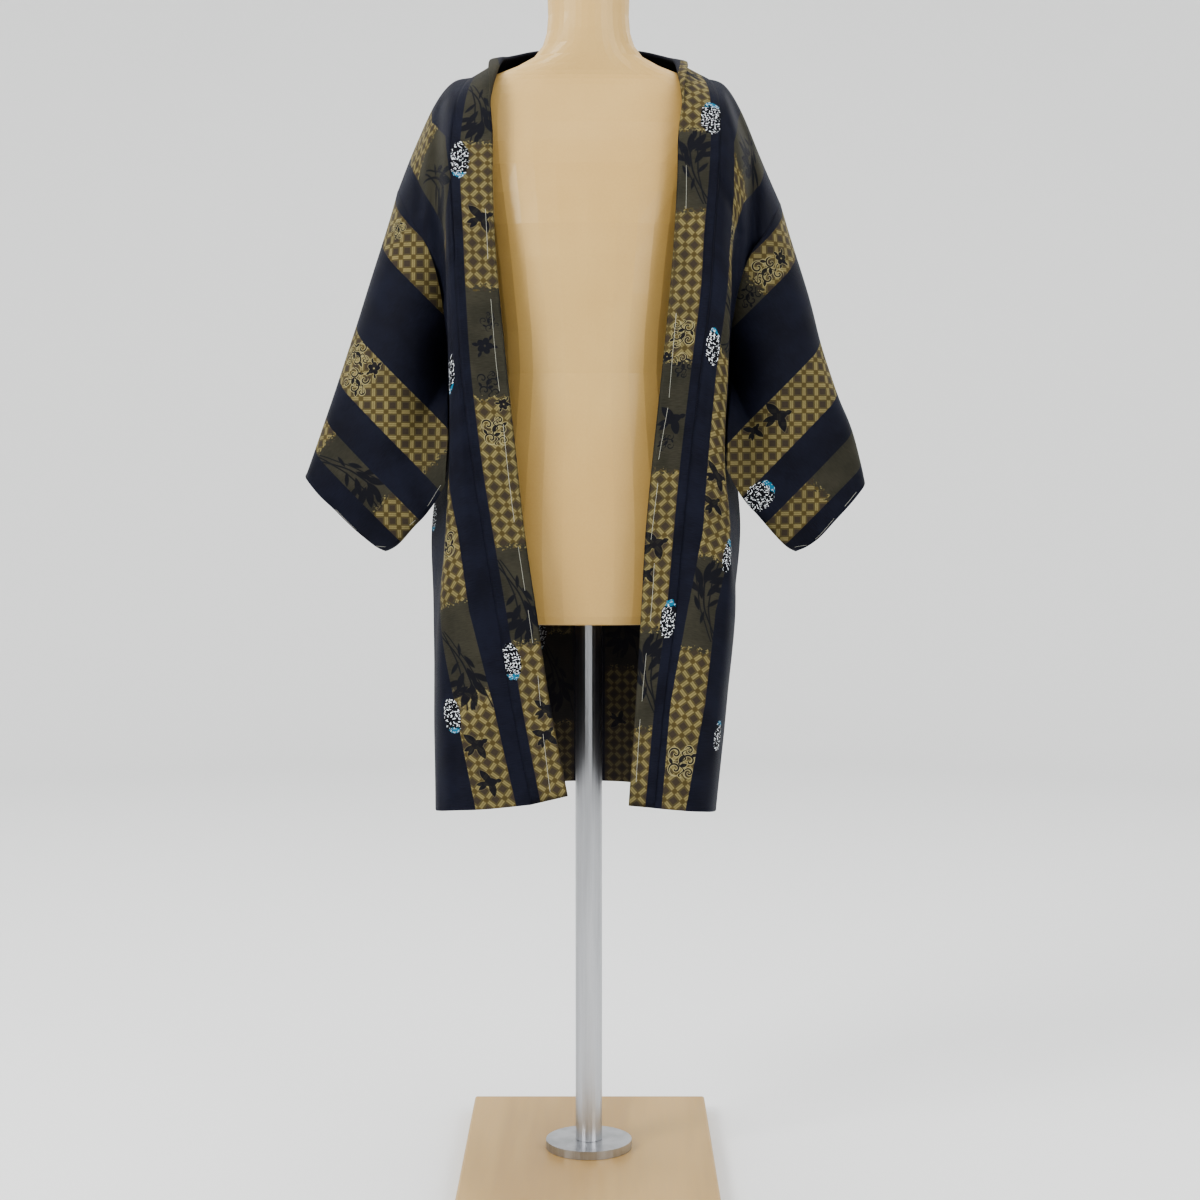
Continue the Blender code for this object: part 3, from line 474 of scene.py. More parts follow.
def cumulated(steps, axis):
    """Running totals of the steps along an axis, with nought put before the first."""
    start = np.zeros_like(np.take(steps, [0], axis=axis))
    return np.concatenate([start, np.cumsum(steps, axis=axis)], axis=axis)


def panel_coordinates(side, t, points):
    """(a, v, spread) for a grid of table points: a across the stripes and v along them, in cm of
    cloth, and for each row the share of the wide band that shows."""
    arc = cumulated(np.linalg.norm(np.diff(points, axis=1), axis=2), 1)
    front_rows = np.linspace(0, SHARE["nape"], len(BAND_STARTS[side]))
    first, second = (np.interp(t, front_rows, edge)[:, None] for edge in zip(*BAND_STARTS[side]))
    wide = WIDE_BAND[1] - WIDE_BAND[0]
    inside = WIDE_BAND[0] - first + arc
    band = WIDE_BAND[0] + (arc - first) * wide / (second - first)
    a = np.where(arc < first, inside, np.where(arc < second, band, WIDE_BAND[1] + arc - second))
    run = cumulated(np.linalg.norm(np.diff(points, axis=0), axis=2), 0)
    top = np.argmin(np.abs(t - SHARE["shoulder top"]))
    ahead = run / run[top] * FRONT_LENGTH
    share_back = (run - run[top]) / (run[-1] - run[top])
    behind = FRONT_LENGTH + share_back * BACK_LENGTH
    level = FRONT_LENGTH + BACK_LENGTH - (run[-1] - run)
    behind = behind + (level - behind) * smooth_step(0, LEVEL_FROM, share_back)
    return a, np.where((t <= t[top])[:, None], ahead, behind), (second - first) / wide


print("cloth from hem to hem:", FRONT_LENGTH + BACK_LENGTH, "cm")

# %% [markdown]
# ## Coordinates for the woven figures
#
# The pattern has three levels. Gold bands run along the cloth, each made of blocks of lattice and
# blocks of plain olive. Over them lie single figures: sprays of leaves, birds, blossoms and curling
# vines. Over everything lie dark roundels flecked with snow. A shader can draw one leaf well, but
# it can't know where eighty figures are. So each face of the mesh stores its place relative to the
# nearest figure, and the shader draws one figure in that small frame. The distance to the edge of
# the band and to the end of the block are stored as well, which keeps every edge crisp.

# %% Pattern layout helpers
Figure = namedtuple("Figure", "kind a v turn size flip")
Roundel = namedtuple("Roundel", "a v half_width half_length snow_end")
LEAVES, BIRD, BLOSSOM, VINE = 1, 2, 3, 4
REACH = {LEAVES: (0.62, 1.0), BIRD: (1.0, 1.0), BLOSSOM: (1.0, 1.0), VINE: (1.0, 1.0)}
FIGURE_LIMIT, ROUNDEL_LIMIT = 1.25, 1.6     # how far out, in half sizes, a face still gets its frame
NO_PLACE = 9.0       # stored where no figure or roundel is near: well outside every shape
NO_BAND = -9.0       # cm stored where no band is near: well outside every band


def band_field(a, v, bands):
    """Signed distances in cm: into the nearest gold band, and into its nearest lattice block."""
    into_band = np.full(a.shape, NO_BAND)
    into_block = np.full(a.shape, NO_BAND)
    for low, high, blocks in bands:
        depth = np.minimum(a - low, high - a)
        block_depth = np.full(a.shape, NO_BAND)
        for start, end in blocks:
            block_depth = np.maximum(block_depth, np.minimum(v - start, end - v))
        nearer = depth > into_band
        into_band = np.where(nearer, depth, into_band)
        into_block = np.where(nearer, block_depth, into_block)
    return into_band, into_block


def quad_corners(*layers):
    """Layers of per-point values as (quads, four corners, one value from each layer)."""
    return corner_values(np.stack(layers, axis=-1)).reshape(-1, 4, len(layers))


def figure_frames(a, v, figures, spread):
    """For each corner: (x, y) in its face's nearest figure, from -1 to 1, and the figure's kind."""
    corners = quad_corners(a, v)
    centres = corners.mean(axis=1)
    even = quad_corners(np.broadcast_to(spread, a.shape), np.ones(a.shape))
    frame_xy = np.full(corners.shape, NO_PLACE)
    kinds = np.zeros(corners.shape)
    nearest = np.full(len(corners), FIGURE_LIMIT)
    for figure in (Figure(kind, *row) for kind, rows in figures.items() for row in rows):
        cosine, sine = math.cos(math.radians(figure.turn)), math.sin(math.radians(figure.turn))
        rotation = np.array([[cosine, -sine], [sine, cosine]])
        local = ((corners - [figure.a, figure.v]) * even) @ rotation / figure.size
        middle = ((centres - [figure.a, figure.v]) * even.mean(axis=1)) @ rotation / figure.size
        reach = np.abs(middle / np.array(REACH[figure.kind])).max(axis=1)
        closer = reach < nearest
        nearest = np.where(closer, reach, nearest)
        local[..., 0] *= figure.flip
        frame_xy[closer] = local[closer]
        kinds[closer] = [figure.kind, 0]
    return frame_xy.reshape(-1, 2), kinds.reshape(-1, 2)


def roundel_frames(a, v, roundels):
    """For each corner: (x, y) in its face's nearest roundel, whose rim is at distance 1."""
    corners = quad_corners(a, v)
    centres = corners.mean(axis=1)
    frame_xy = np.full(corners.shape, NO_PLACE)
    nearest = np.full(len(corners), ROUNDEL_LIMIT)
    for roundel in map(Roundel._make, roundels):
        scale = np.array([roundel.half_width, roundel.half_length * roundel.snow_end])
        away = np.linalg.norm((centres - [roundel.a, roundel.v]) / scale, axis=1)
        closer = away < nearest
        nearest = np.where(closer, away, nearest)
        frame_xy[closer] = ((corners - [roundel.a, roundel.v]) / scale)[closer]
    return frame_xy.reshape(-1, 2)


def weave_maps(piece, a, v, bands, figures, roundels, spread=1.0):
    """Writes all the coordinates that the silk material reads. Where part of the wide band is
    tucked away, spread is the share of it that shows, and it keeps the figures in proportion."""
    even_a = WIDE_MIDDLE + (a - WIDE_MIDDLE) * spread
    add_map(piece, "Cloth", corner_values(np.stack([even_a, v], axis=-1)))
    add_map(piece, "Field", corner_values(np.stack(band_field(a, v, bands), axis=-1)))
    frame_xy, kinds = figure_frames(a, v, figures, spread)
    add_map(piece, "Figure", frame_xy)
    add_map(piece, "Kind", kinds)
    add_map(piece, "Roundel", roundel_frames(a, v, roundels))


print("figure kinds:", LEAVES, "leaves,", BIRD, "bird,", BLOSSOM, "blossom,", VINE, "vine")

# %% Where the lattice blocks, the figures and the roundels are on the body
# stretches of lattice along the wide and the narrow band, cm from the front hem; then a figure's
# and a roundel's values, in the order of their namedtuples
BODY_BLOCKS = {
    RIGHT: (
        [(-1, 13.8), (23.7, 39.1), (49.5, 66.9), (79.9, 97), (108, 125), (136, 153), (164, 182)],
        [(88, 105), (116, 133), (144, 161), (172, 182)],
    ),
    LEFT: (
        [(-1, 18.5), (28.8, 53.1), (60.6, 76.5), (88, 105), (116, 133), (144, 161), (172, 182)],
        [(80, 98), (109, 126), (137, 154), (165, 182)],
    ),
}
BODY_FIGURES = {
    RIGHT: {
        LEAVES: [
            (18.4, 16.2, 0, 4.8, -1), (18.2, 44.0, 0, 4.4, -1), (17.9, 73.5, 0, 4.6, -1),
            (18.2, 102.6, 180, 4.6, 1), (18.2, 130.6, 180, 4.6, -1), (18.2, 158.6, 180, 4.6, 1),
            (4.2, 110.6, 180, 4.4, 1), (4.2, 138.6, 180, 4.4, -1), (4.2, 166.6, 180, 4.4, 1),
        ],
        BIRD: [
            (18.9, 7.4, 0, 1.7, -1), (18.2, 3.0, 15, 1.6, -1), (17.2, 112.0, 20, 1.4, 1),
            (19.4, 115.0, -10, 1.2, 1), (17.0, 169.5, 0, 1.4, -1), (4.8, 95.5, 10, 1.3, 1),
            (3.6, 151.0, 0, 1.3, 1),
        ],
        BLOSSOM: [(18.8, 146.6, 0, 1.3, 1), (4.6, 155.5, 0, 1.2, 1)],
        VINE: [
            (18.0, 31.0, 0, 1.7, 1), (18.2, 90.0, 0, 1.8, 1), (18.0, 143.0, 30, 1.9, 1),
            (4.2, 124.0, 0, 1.8, 1),
        ],
    },
    LEFT: {
        LEAVES: [
            (18.4, 24.2, 180, 4.6, 1), (18.2, 57.0, 180, 3.8, -1), (18.3, 82.2, 0, 4.8, 1),
            (18.2, 110.6, 180, 4.6, -1), (18.2, 138.6, 180, 4.6, 1), (18.2, 166.6, 180, 4.6, -1),
            (4.2, 103.6, 180, 4.4, -1), (4.2, 131.6, 180, 4.4, 1), (4.2, 159.6, 180, 4.4, -1),
        ],
        BIRD: [
            (17.2, 38.6, 0, 1.6, 1), (16.8, 35.2, 30, 1.4, 1), (18.8, 95.0, 0, 1.4, 1),
            (17.4, 149.0, 0, 1.4, -1), (19.6, 152.5, 25, 1.2, -1), (4.8, 117.0, 0, 1.3, 1),
            (3.8, 172.0, 0, 1.3, 1),
        ],
        BLOSSOM: [(17.4, 126.0, 0, 1.3, 1)],
        VINE: [
            (18.6, 5.6, 0, 1.9, 1), (17.6, 68.0, 0, 1.6, 1), (18.0, 121.5, 0, 1.8, 1),
            (4.2, 90.0, 0, 1.8, 1), (4.2, 145.0, 0, 1.8, 1),
        ],
    },
}
BODY_ROUNDELS = {
    RIGHT: [
        (13.4, 50.0, 0.85, 2.1, 1), (28.8, 38.6, 1.1, 2.1, 1), (21.6, 11.0, 1.15, 2.2, 1),
        (21.2, 97.0, 1.2, 2.3, -1), (15.2, 125.0, 1.2, 2.3, -1), (21.2, 153.0, 1.2, 2.3, -1),
        (6.7, 105.0, 1.2, 2.3, -1), (1.9, 133.0, 1.2, 2.3, -1), (6.7, 161.0, 1.2, 2.3, -1),
    ],
    LEFT: [
        (14.6, 52.2, 0.9, 2.2, -1), (20.9, 30.1, 1.0, 2.2, -1), (24.0, 9.1, 1.0, 2.0, -1),
        (15.2, 105.0, 1.2, 2.3, -1), (21.2, 133.0, 1.2, 2.3, -1), (15.2, 161.0, 1.2, 2.3, -1),
        (1.9, 98.0, 1.2, 2.3, -1), (6.7, 126.0, 1.2, 2.3, -1), (1.9, 154.0, 1.2, 2.3, -1),
    ],
}


def body_pattern(side):
    wide, narrow = BODY_BLOCKS[side]
    return [(*NARROW_BAND, narrow), (*WIDE_BAND, wide)], BODY_FIGURES[side], BODY_ROUNDELS[side]


print("body figures:", sum(len(rows) for kinds in BODY_FIGURES.values() for rows in kinds.values()))

# %% Where they are on the sleeves and the collar
# each pattern is its bands with their lattice blocks, then its figures, then its roundels
SLEEVE_PATTERN = {
    RIGHT: (
        [
            (2.0, 6.5, [(-4, 15.0), (-32, -15)]), (15.4, 21.0, [(4, 26.4), (-24, -7)]),
            (25.2, 28.7, [(-2, 15.8), (25.0, 42), (-30, -13)]),
        ],
        {
            LEAVES: [(27.0, 20.6, 180, 4.6, 1), (18.2, -1.6, 180, 4.4, 1)],
            BIRD: [(4.0, -9.0, 0, 1.4, 1), (18.0, -12.0, 0, 1.4, 1)],
            BLOSSOM: [(16.6, 13.4, 0, 1.2, 1)],
            VINE: [(3.4, 3.4, 0, 1.2, 1), (17.0, 10.6, 40, 1.7, 1), (19.2, 13.0, 10, 1.7, 1)],
        },
        [(21.2, 2.0, 1.3, 2.2, 1), (6.6, -12.0, 1.3, 2.2, 1)],
    ),
    LEFT: (
        [
            (2.0, 6.5, [(-8, 9.6), (-36, -19)]), (15.4, 21.0, [(3, 36), (-26, -8)]),
            (25.2, 28.7, [(21.0, 42), (-10, 6)]),
        ],
        {
            LEAVES: [(18.2, -2.4, 180, 4.4, 1)],
            BIRD: [(17.4, 18.4, 136, 1.9, -1), (16.6, 21.6, 100, 1.2, -1)],
            BLOSSOM: [(4.8, 5.0, 0, 1.2, 1)],
            VINE: [(4.6, 7.4, 20, 1.8, 1), (5.2, 10.8, 0, 1.4, 1), (4.0, -12.0, 0, 1.6, 1)],
        },
        [(22.4, 26.6, 1.6, 2.1, 1), (15.2, 3.0, 1.3, 2.2, 1)],
    ),
}
COLLAR_BAND = (1.1, 6.6)      # cm across the collar, from its seam
COLLAR_BLOCKS = [
    (-1, 18.3), (29.0, 46.3), (58.4, 75.9), (91, 107), (117, 132.6), (142.1, 159.7), (171.7, 190.1),
    (201.0, 212),
]
COLLAR_FIGURES = {
    LEAVES: [
        (2.9, 23.0, 0, 4.8, 1), (2.9, 80.4, 0, 4.6, 1), (3.2, 112.0, 0, 4.6, 1), (2.9, 137.0, 0, 4.6, 1),
        (2.4, 195.0, 0, 4.6, 1),
    ],
    BIRD: [
        (3.8, 10.4, 0, 1.5, 1), (3.2, 7.4, 20, 1.5, 1), (3.3, 66.6, 0, 1.8, 1), (3.0, 122.5, 0, 1.4, 1),
        (2.5, 166.1, 180, 1.8, 1), (3.0, 180.2, 180, 1.8, 1), (3.8, 183.6, 200, 1.2, 1),
    ],
    BLOSSOM: [(4.4, 45.4, 0, 1.0, 1), (2.9, 52.0, 0, 1.5, 1), (4.0, 159.0, 0, 0.9, 1)],
    VINE: [
        (3.1, 42.4, 0, 1.7, 1), (3.0, 47.7, 0, 1.5, 1), (3.6, 54.7, 30, 1.1, 1), (3.2, 99.0, 0, 1.7, 1),
        (2.6, 156.4, 0, 1.6, 1), (2.2, 160.0, 40, 1.4, 1), (3.0, 168.6, 0, 1.1, 1),
    ],
}
COLLAR_ROUNDELS = [
    (0.95, 73.6, 1.2, 2.35, 1), (0.75, 16.2, 1.15, 2.2, 1), (1.0, 102.0, 1.1, 2.2, 1),
    (0.95, 130.4, 1.35, 2.6, 1), (0.75, 188.8, 0.95, 2.3, 1),
]
COLLAR_PATTERN = ([(*COLLAR_BAND, COLLAR_BLOCKS)], COLLAR_FIGURES, COLLAR_ROUNDELS)
print("figures on the collar:", sum(len(rows) for rows in COLLAR_FIGURES.values()))

# %% [markdown]
# ## The two body panels
#
# Each panel is one strip of cloth from hem to hem. It is modelled from its rows, since a
# cloth simulation would not find the careful way in which a dresser has arranged the fronts.

# %% Body panels
PANEL_WIDTH_POINTS, PANEL_LENGTH_POINTS = 58, 330
PANEL_CALM = 0.05                # ripples die out over this share of the width at either edge
CREASE_START = (-0.02, 0.03)     # shares of the width in which the creases grow from the inner edge
PANEL_RIPPLE_SEED = 3.1


def build_body_panel(side):
    t = body_shares(PANEL_LENGTH_POINTS)
    across = np.linspace(0, 1, PANEL_WIDTH_POINTS)
    grid = panel_surface(side, t, across)
    a, v, spread = panel_coordinates(side, t, grid)
    front = (1 - smooth_step(SHARE["shoulder front"], SHARE["shoulder top"], t))[:, None]
    calm = smooth_step(0, PANEL_CALM, across) * smooth_step(0, PANEL_CALM, 1 - across)
    grid[..., 1] -= crease_depth(side, grid, front) * smooth_step(*CREASE_START, across)
    grid += normals_of(grid) * (ripples(grid, PANEL_RIPPLE_SEED * side) * calm)[..., None]
    grid[:, 0] = trim_edge(grid[:, 0], grid[:, 1], SEAM_GAP / 2)
    grid[:, -1] = trim_edge(grid[:, -1], grid[:, -2], SEAM_GAP / 2)
    panel = cloth_mesh("haori_body_" + SIDE_NAMES[side], to_world(side, grid))
    weave_maps(panel, a, v, *body_pattern(side), spread=spread)
    return panel, grid, t


panels = {}
panel_grids = {}
for side in (RIGHT, LEFT):
    panels[side], panel_grids[side], panel_shares = build_body_panel(side)
    print(panels[side].name, "surface", panel_grids[side].shape)

# %% [markdown]
# ## The wedges under the arms
#
# A narrow wedge, the width of a finger at the hip and wider at the hem, joins each front to the
# back below the armhole and lets the haori flare. It is plain dark cloth.

# %% Wedges
GUSSET_ROWS, GUSSET_COLUMNS = 90, 12
GUSSET_START = 24.0     # cm across the cloth, past the last band, so that the wedge is plain


def side_edge(side, t):
    """The panel's side edge, with the soft folds of the back in it."""
    edge = panel_column(side, "outer", t)
    edge[:, 1] += back_fold_depth(np.ones(len(t)), edge[:, 2], t)
    return edge


def build_gusset(side):
    share = np.linspace(0, 1, GUSSET_ROWS)
    front = side_edge(side, SHARE["front ribs"] * share)
    behind = side_edge(side, 1 + (SHARE["middle back"] - 1) * share)
    first = trim_edge(front, behind, SEAM_GAP / 2)
    last = trim_edge(behind, front, SEAM_GAP / 2)
    across = np.linspace(0, 1, GUSSET_COLUMNS)
    grid = first[:, None] + (last - first)[:, None] * across[None, :, None]
    grid[..., 0] += GUSSET_BULGE * np.sin(math.pi * across)[None, :] * (1 - share)[:, None]
    crosswise = np.linalg.norm(grid - grid[:, :1], axis=2)
    gusset = cloth_mesh("haori_wedge_" + SIDE_NAMES[side], to_world(side, grid))
    v = np.repeat(lengths_along(first)[:, None], GUSSET_COLUMNS, axis=1)
    weave_maps(gusset, crosswise + GUSSET_START, v, [], {}, [])
    return gusset


gussets = {side: build_gusset(side) for side in (RIGHT, LEFT)}
print("wedges:", ", ".join(gusset.name for gusset in gussets.values()))

# %% [markdown]
# ## The sleeves
#
# A haori sleeve is a flat bag open at the cuff and at the body side. With no arm inside, it falls
# straight down from the shoulder, so its stripes run slantwise. Its edge at the armhole follows the
# panel's side edge, and over the first part of its length the shape eases from that edge into the
# hanging bag. The stripes turn over the outer ridge as a folded sheet would.

# %% The sleeve's two shapes, at the armhole and hanging
RING_POINTS, SLEEVE_RINGS, ARMHOLE_STEPS = 168, 72, 40
CORNER_CUT, CORNER_WIDTH = 0.55, 0.9         # cm by which the sleeve's two corners are rounded


def armhole_loop(side):
    """The sleeve's inner edge: (front half, back half), down the front and up behind."""
    sleeve = SLEEVES[side]
    outside = np.array([ARMHOLE_LIFT, 0, 0])
    share = np.linspace(0, 1, ARMHOLE_STEPS)
    top = SHARE["shoulder top"]
    front = side_edge(side, top + (SHARE["front ribs"] - top) * share) + outside
    behind = side_edge(side, SHARE["middle back"] + (top - SHARE["middle back"]) * share) + outside
    low = np.array(sleeve.hem[:1])
    return (np.concatenate([front, np.array(sleeve.free_front), low]),
            np.concatenate([low, np.array(sleeve.free_back), behind]))


def sleeve_skin(side, along, angle):
    """The hanging sleeve's points (rings, ring points, 3), angle round it from the ridge."""
    sleeve = SLEEVES[side]
    down = (1 - np.cos(angle)) / 2
    ridge, hem = np.array(sleeve.ridge), np.array(sleeve.hem)
    cuff = catmull_rom([(x, 0, z) for x, z in sleeve.cuff], down)
    cuff[:, 1] = ridge[-1, 1] + (hem[-1, 1] - ridge[-1, 1]) * down
    inner = ridge[0] + (hem[0] - ridge[0]) * down[:, None]
    far = ridge[-1] + (hem[-1] - ridge[-1]) * down[:, None]
    ridge_line, hem_line = catmull_rom(ridge, along), catmull_rom(hem, along)
    share = along[:, None, None]
    place = inner * (1 - share) + cuff * share
    place = place + ridge_line[:, None] + (hem_line - ridge_line)[:, None] * down[None, :, None]
    place = place - (inner + (far - inner) * share)
    half_depth = SLEEVE_DEPTH_BODY + (SLEEVE_DEPTH_CUFF - SLEEVE_DEPTH_BODY) * along
    swell = np.abs(np.sin(angle)) ** SLEEVE_ROUNDNESS * (1 - HEM_FLATTENING * down)
    place[..., 1] += half_depth[:, None] * swell * np.where(angle <= math.pi + 1e-9, -1, 1)
    return place


def round_corners(grid, half):
    """Ends the sleeve a little earlier along the ridge and along the hem, which rounds its corners."""
    count = len(grid)
    reached = lengths_along(grid[-1])
    cut = np.zeros(grid.shape[1])
    for column in (0, half, grid.shape[1] - 1):
        length = lengths_along(grid[:, column])[-1]
        cut += CORNER_CUT / length * np.exp(-((reached - reached[column]) / CORNER_WIDTH) ** 2)
    rows = np.arange(count)[:, None] * (1 - cut[None, :])
    low = np.minimum(rows.astype(int), count - 2)
    share = (rows - low)[..., None]
    column = np.arange(grid.shape[1])[None, :]
    return grid[low, column] * (1 - share) + grid[low + 1, column] * share


print("a sleeve has", SLEEVE_RINGS, "rings of", RING_POINTS, "points")

# %% Sleeves
STRIPE_ACROSS = np.array([0.71, -0.70])      # the way the stripes lie side by side, outward and up
STRIPE_ALONG = np.array([-0.69, -0.72])      # the way they run, inward and down
SEAM_BEHIND = 1.16     # the sleeve's lower seam lies a little behind its lower edge
SEAM_STRIP = 0.0006    # the pattern jumps at that seam, so the jump gets a strip this share wide
ROLL_SHARE = 0.22      # from here up, the cloth is measured round the ridge and not flat
SLEEVE_CALM = (0.08, 0.03)     # ripples grow over these shares of the length, from armhole and cuff
SLEEVE_RIPPLE_SEED = 11.0


def sleeve_coordinates(side, grid, half):
    """(a, v) in cm of cloth: as it lies down the front, and unrolled over the ridge to the back."""
    ridge = np.array(SLEEVES[side].ridge)[:, [0, 2]]
    start, along = ridge[0], (ridge[-1] - ridge[0]) / np.linalg.norm(ridge[-1] - ridge[0])
    inward = np.array([along[1], -along[0]])
    flat = grid[..., [0, 2]] - start
    reach, drop = flat @ inward, flat @ along
    roll, seam = round(half * ROLL_SHARE), round(half * SEAM_BEHIND)
    order = np.concatenate([np.arange(roll, -1, -1), np.arange(grid.shape[1] - 2, seam - 1, -1)])
    steps = np.hypot(np.diff(reach[:, order], axis=1), np.diff(grid[:, order, 1], axis=1))
    reach[:, order] = reach[:, order[:1]] - cumulated(steps, 1)
    reach[:, -1] = reach[:, 0]
    place = reach[..., None] * inward + drop[..., None] * along
    return place @ STRIPE_ACROSS, place @ STRIPE_ALONG


def build_sleeve(side):
    front, behind = armhole_loop(side)
    half = RING_POINTS // 2
    share = np.linspace(0, 1, half + 1)
    share_behind = share.copy()
    seam = round(half * SEAM_BEHIND) - half
    share_behind[seam - 1] = share[seam] - SEAM_STRIP
    edge = np.concatenate([along_path(front, share), along_path(behind, share_behind)[1:]])
    angle = np.concatenate([math.pi * share, math.pi * (1 + share_behind[1:])])
    along = np.linspace(0, 1, SLEEVE_RINGS)
    eased = smooth_step(0.0, ARMHOLE_REACH, along)[:, None, None]
    skin = sleeve_skin(side, along, angle)
    grid = round_corners(edge[None] + (skin - edge[None]) * eased, half)
    a, v = sleeve_coordinates(side, grid, half)
    calm = smooth_step(0, SLEEVE_CALM[0], along) * smooth_step(0, SLEEVE_CALM[1], 1 - along)
    wave = ripples(grid, SLEEVE_RIPPLE_SEED + side) * calm[:, None]
    wave[:, -1] = wave[:, 0]
    normal = normals_of(grid)
    normal[:, 0] = normal[:, -1] = (normal[:, 0] + normal[:, -1]) / 2
    grid += normal * wave[..., None]
    grid[0] = trim_edge(grid[0], grid[1], SEAM_GAP)
    sleeve = cloth_mesh("haori_sleeve_" + SIDE_NAMES[side], to_world(side, grid), closed_across=True)
    weave_maps(sleeve, a, v, *SLEEVE_PATTERN[side])
    return sleeve, grid


sleeves, sleeve_grids = {}, {}
for side in (RIGHT, LEFT):
    sleeves[side], sleeve_grids[side] = build_sleeve(side)
    print(sleeves[side].name, "surface", sleeve_grids[side].shape)

# %% [markdown]
# ## The collar
#
# The collar is one long band, folded double along its free edge and sewn to both fronts and round
# the neck. It lies flat down the fronts and stands and turns over behind the neck. Its section is a
# closed loop: the outer layer, a small round fold, and the under layer back to the seam.

# %% Collar
COLLAR_COLUMNS = 17
COLLAR_FOLD = 0.15          # cm, half the thickness of the folded band
COLLAR_SQUARENESS = 10      # power: the higher, the nearer to its edge the band keeps its thickness
COLLAR_END_ROWS = 2         # rows over which each end of the band closes


def collar_surface(side, t):
    """Points (rows, columns, 3) of the collar's middle surface, from the seam to the free edge."""
    share = t / SHARE["nape"]
    seam = panel_column(side, "inner", t)
    edge = catmull_rom([row.edge for row in COLLARS[side]], share)
    rolls = [row.roll or np.array(row.edge) + (inner - row.edge) * FLAT_ROLL_SHARE
             for row, inner in zip(COLLARS[side], PANELS[side][:, 0])]
    roll = catmull_rom(rolls, share)
    seam = trim_edge(seam, roll, SEAM_GAP / 2)
    middle = seam + (roll - seam) * COLLAR_MIDDLE_SHARE
    across = np.linspace(0, 1, COLLAR_COLUMNS)
    return np.stack([catmull_rom([seam[i], middle[i], roll[i], edge[i]], across) for i in range(len(t))])


def collar_thickness(rows):
    """Half the band's thickness at each point (rows, columns, 1), closing at the edge and both ends."""
    share = np.linspace(0, 1, COLLAR_COLUMNS)
    thick = COLLAR_FOLD * np.sqrt(np.clip(1 - share ** COLLAR_SQUARENESS, 0, 1))
    from_end = np.minimum(np.arange(rows), np.arange(rows)[::-1]) / COLLAR_END_ROWS
    return thick[None, :, None] * np.sqrt(1 - (1 - np.clip(from_end, 0, 1)) ** 2)[:, None, None]


def build_collar():
    t = panel_shares[panel_shares <= SHARE["nape"] + 1e-9]
    halves = [to_world(side, collar_surface(side, t)) / CM for side in (RIGHT, LEFT)]
    grid = np.concatenate([halves[0], halves[1][-2::-1]])
    a = cumulated(np.linalg.norm(np.diff(grid, axis=1), axis=2), 1)
    middle = grid[:, COLLAR_COLUMNS // 2]
    v = np.repeat(lengths_along(middle)[:, None], COLLAR_COLUMNS, axis=1)
    lift = -normals_of(grid) * collar_thickness(len(grid))
    over, under = grid + lift, grid - lift
    loop = np.concatenate([over, under[:, ::-1][:, 1:], over[:, :1]], axis=1)
    width = a[:, -1:]
    loop_a = np.concatenate([a, (2 * width - a)[:, ::-1][:, 1:], 2 * width], axis=1)
    loop_v = np.concatenate([v, v[:, ::-1][:, 1:], v[:, :1]], axis=1)
    collar = cloth_mesh("haori_collar", loop * CM, closed_across=True)
    weave_maps(collar, loop_a, loop_v, *COLLAR_PATTERN)
    return collar, grid, a, v


collar, collar_grid, collar_a, collar_v = build_collar()
print("collar", round(collar_v[-1, 0], 1), "cm long and", collar_a[:, -1].round(1).min(), "to",
      collar_a[:, -1].round(1).max(), "cm wide")

# %% Make the collar one closed shell
def merge_and_face_out(piece):
    """Merges points in the same place and turns a closed shell's faces outwards."""
    only(piece)
    bpy.ops.object.mode_set(mode="EDIT")
    bpy.ops.mesh.select_all(action="SELECT")
    bpy.ops.mesh.remove_doubles(threshold=1e-6)
    bpy.ops.mesh.normals_make_consistent(inside=False)
    bpy.ops.object.mode_set(mode="OBJECT")
    bpy.ops.object.shade_smooth()


merge_and_face_out(collar)
print("collar faces:", len(collar.data.polygons))

# %% [markdown]
# ## Shader building blocks
#
# A woven pattern is arithmetic on the cloth's coordinates, so most of the nodes are Math nodes.
# Small helpers keep that readable: calc adds a Math node beside the nodes that feed it, fill plugs
# inputs by name, and new_group starts a node group. Each figure is a group of its own that returns
# how deep a point lies inside the figure: above nought is inside, and the value falls off with
# distance, so the same number gives a sharp shape, a soft one or a thin outline.

# %% Node helpers
VECTORS = ("Place", "Middle", "Cloth", "Frame")      # names of group inputs that are vectors


def new_group(name, inputs, outputs):
    """A node group whose outputs are numbers: its tree, its input sockets and its output node."""
    tree = bpy.data.node_groups.new(name, "ShaderNodeTree")
    for label in inputs:
        kind = "NodeSocketVector" if label in VECTORS else "NodeSocketFloat"
        tree.interface.new_socket(name=label, in_out="INPUT", socket_type=kind)
    for label in outputs:
        tree.interface.new_socket(name=label, in_out="OUTPUT", socket_type="NodeSocketFloat")
    return tree, tree.nodes.new("NodeGroupInput").outputs, tree.nodes.new("NodeGroupOutput")


def plug(socket, source):
    """Feeds a socket from another node's socket, or sets its own value."""
    if isinstance(source, bpy.types.NodeSocket):
        socket.id_data.links.new(source, socket)
    else:
        socket.default_value = source


def fill(node, **sources):
    """Plugs a node's inputs by their names, in which underscores stand for spaces."""
    for name, source in sources.items():
        plug(node.inputs[name.replace("_", " ")], source)
    return node


def tree_of(sources):
    """The node tree that the first socket among the sources is in."""
    return next(source.id_data for source in sources if isinstance(source, bpy.types.NodeSocket))


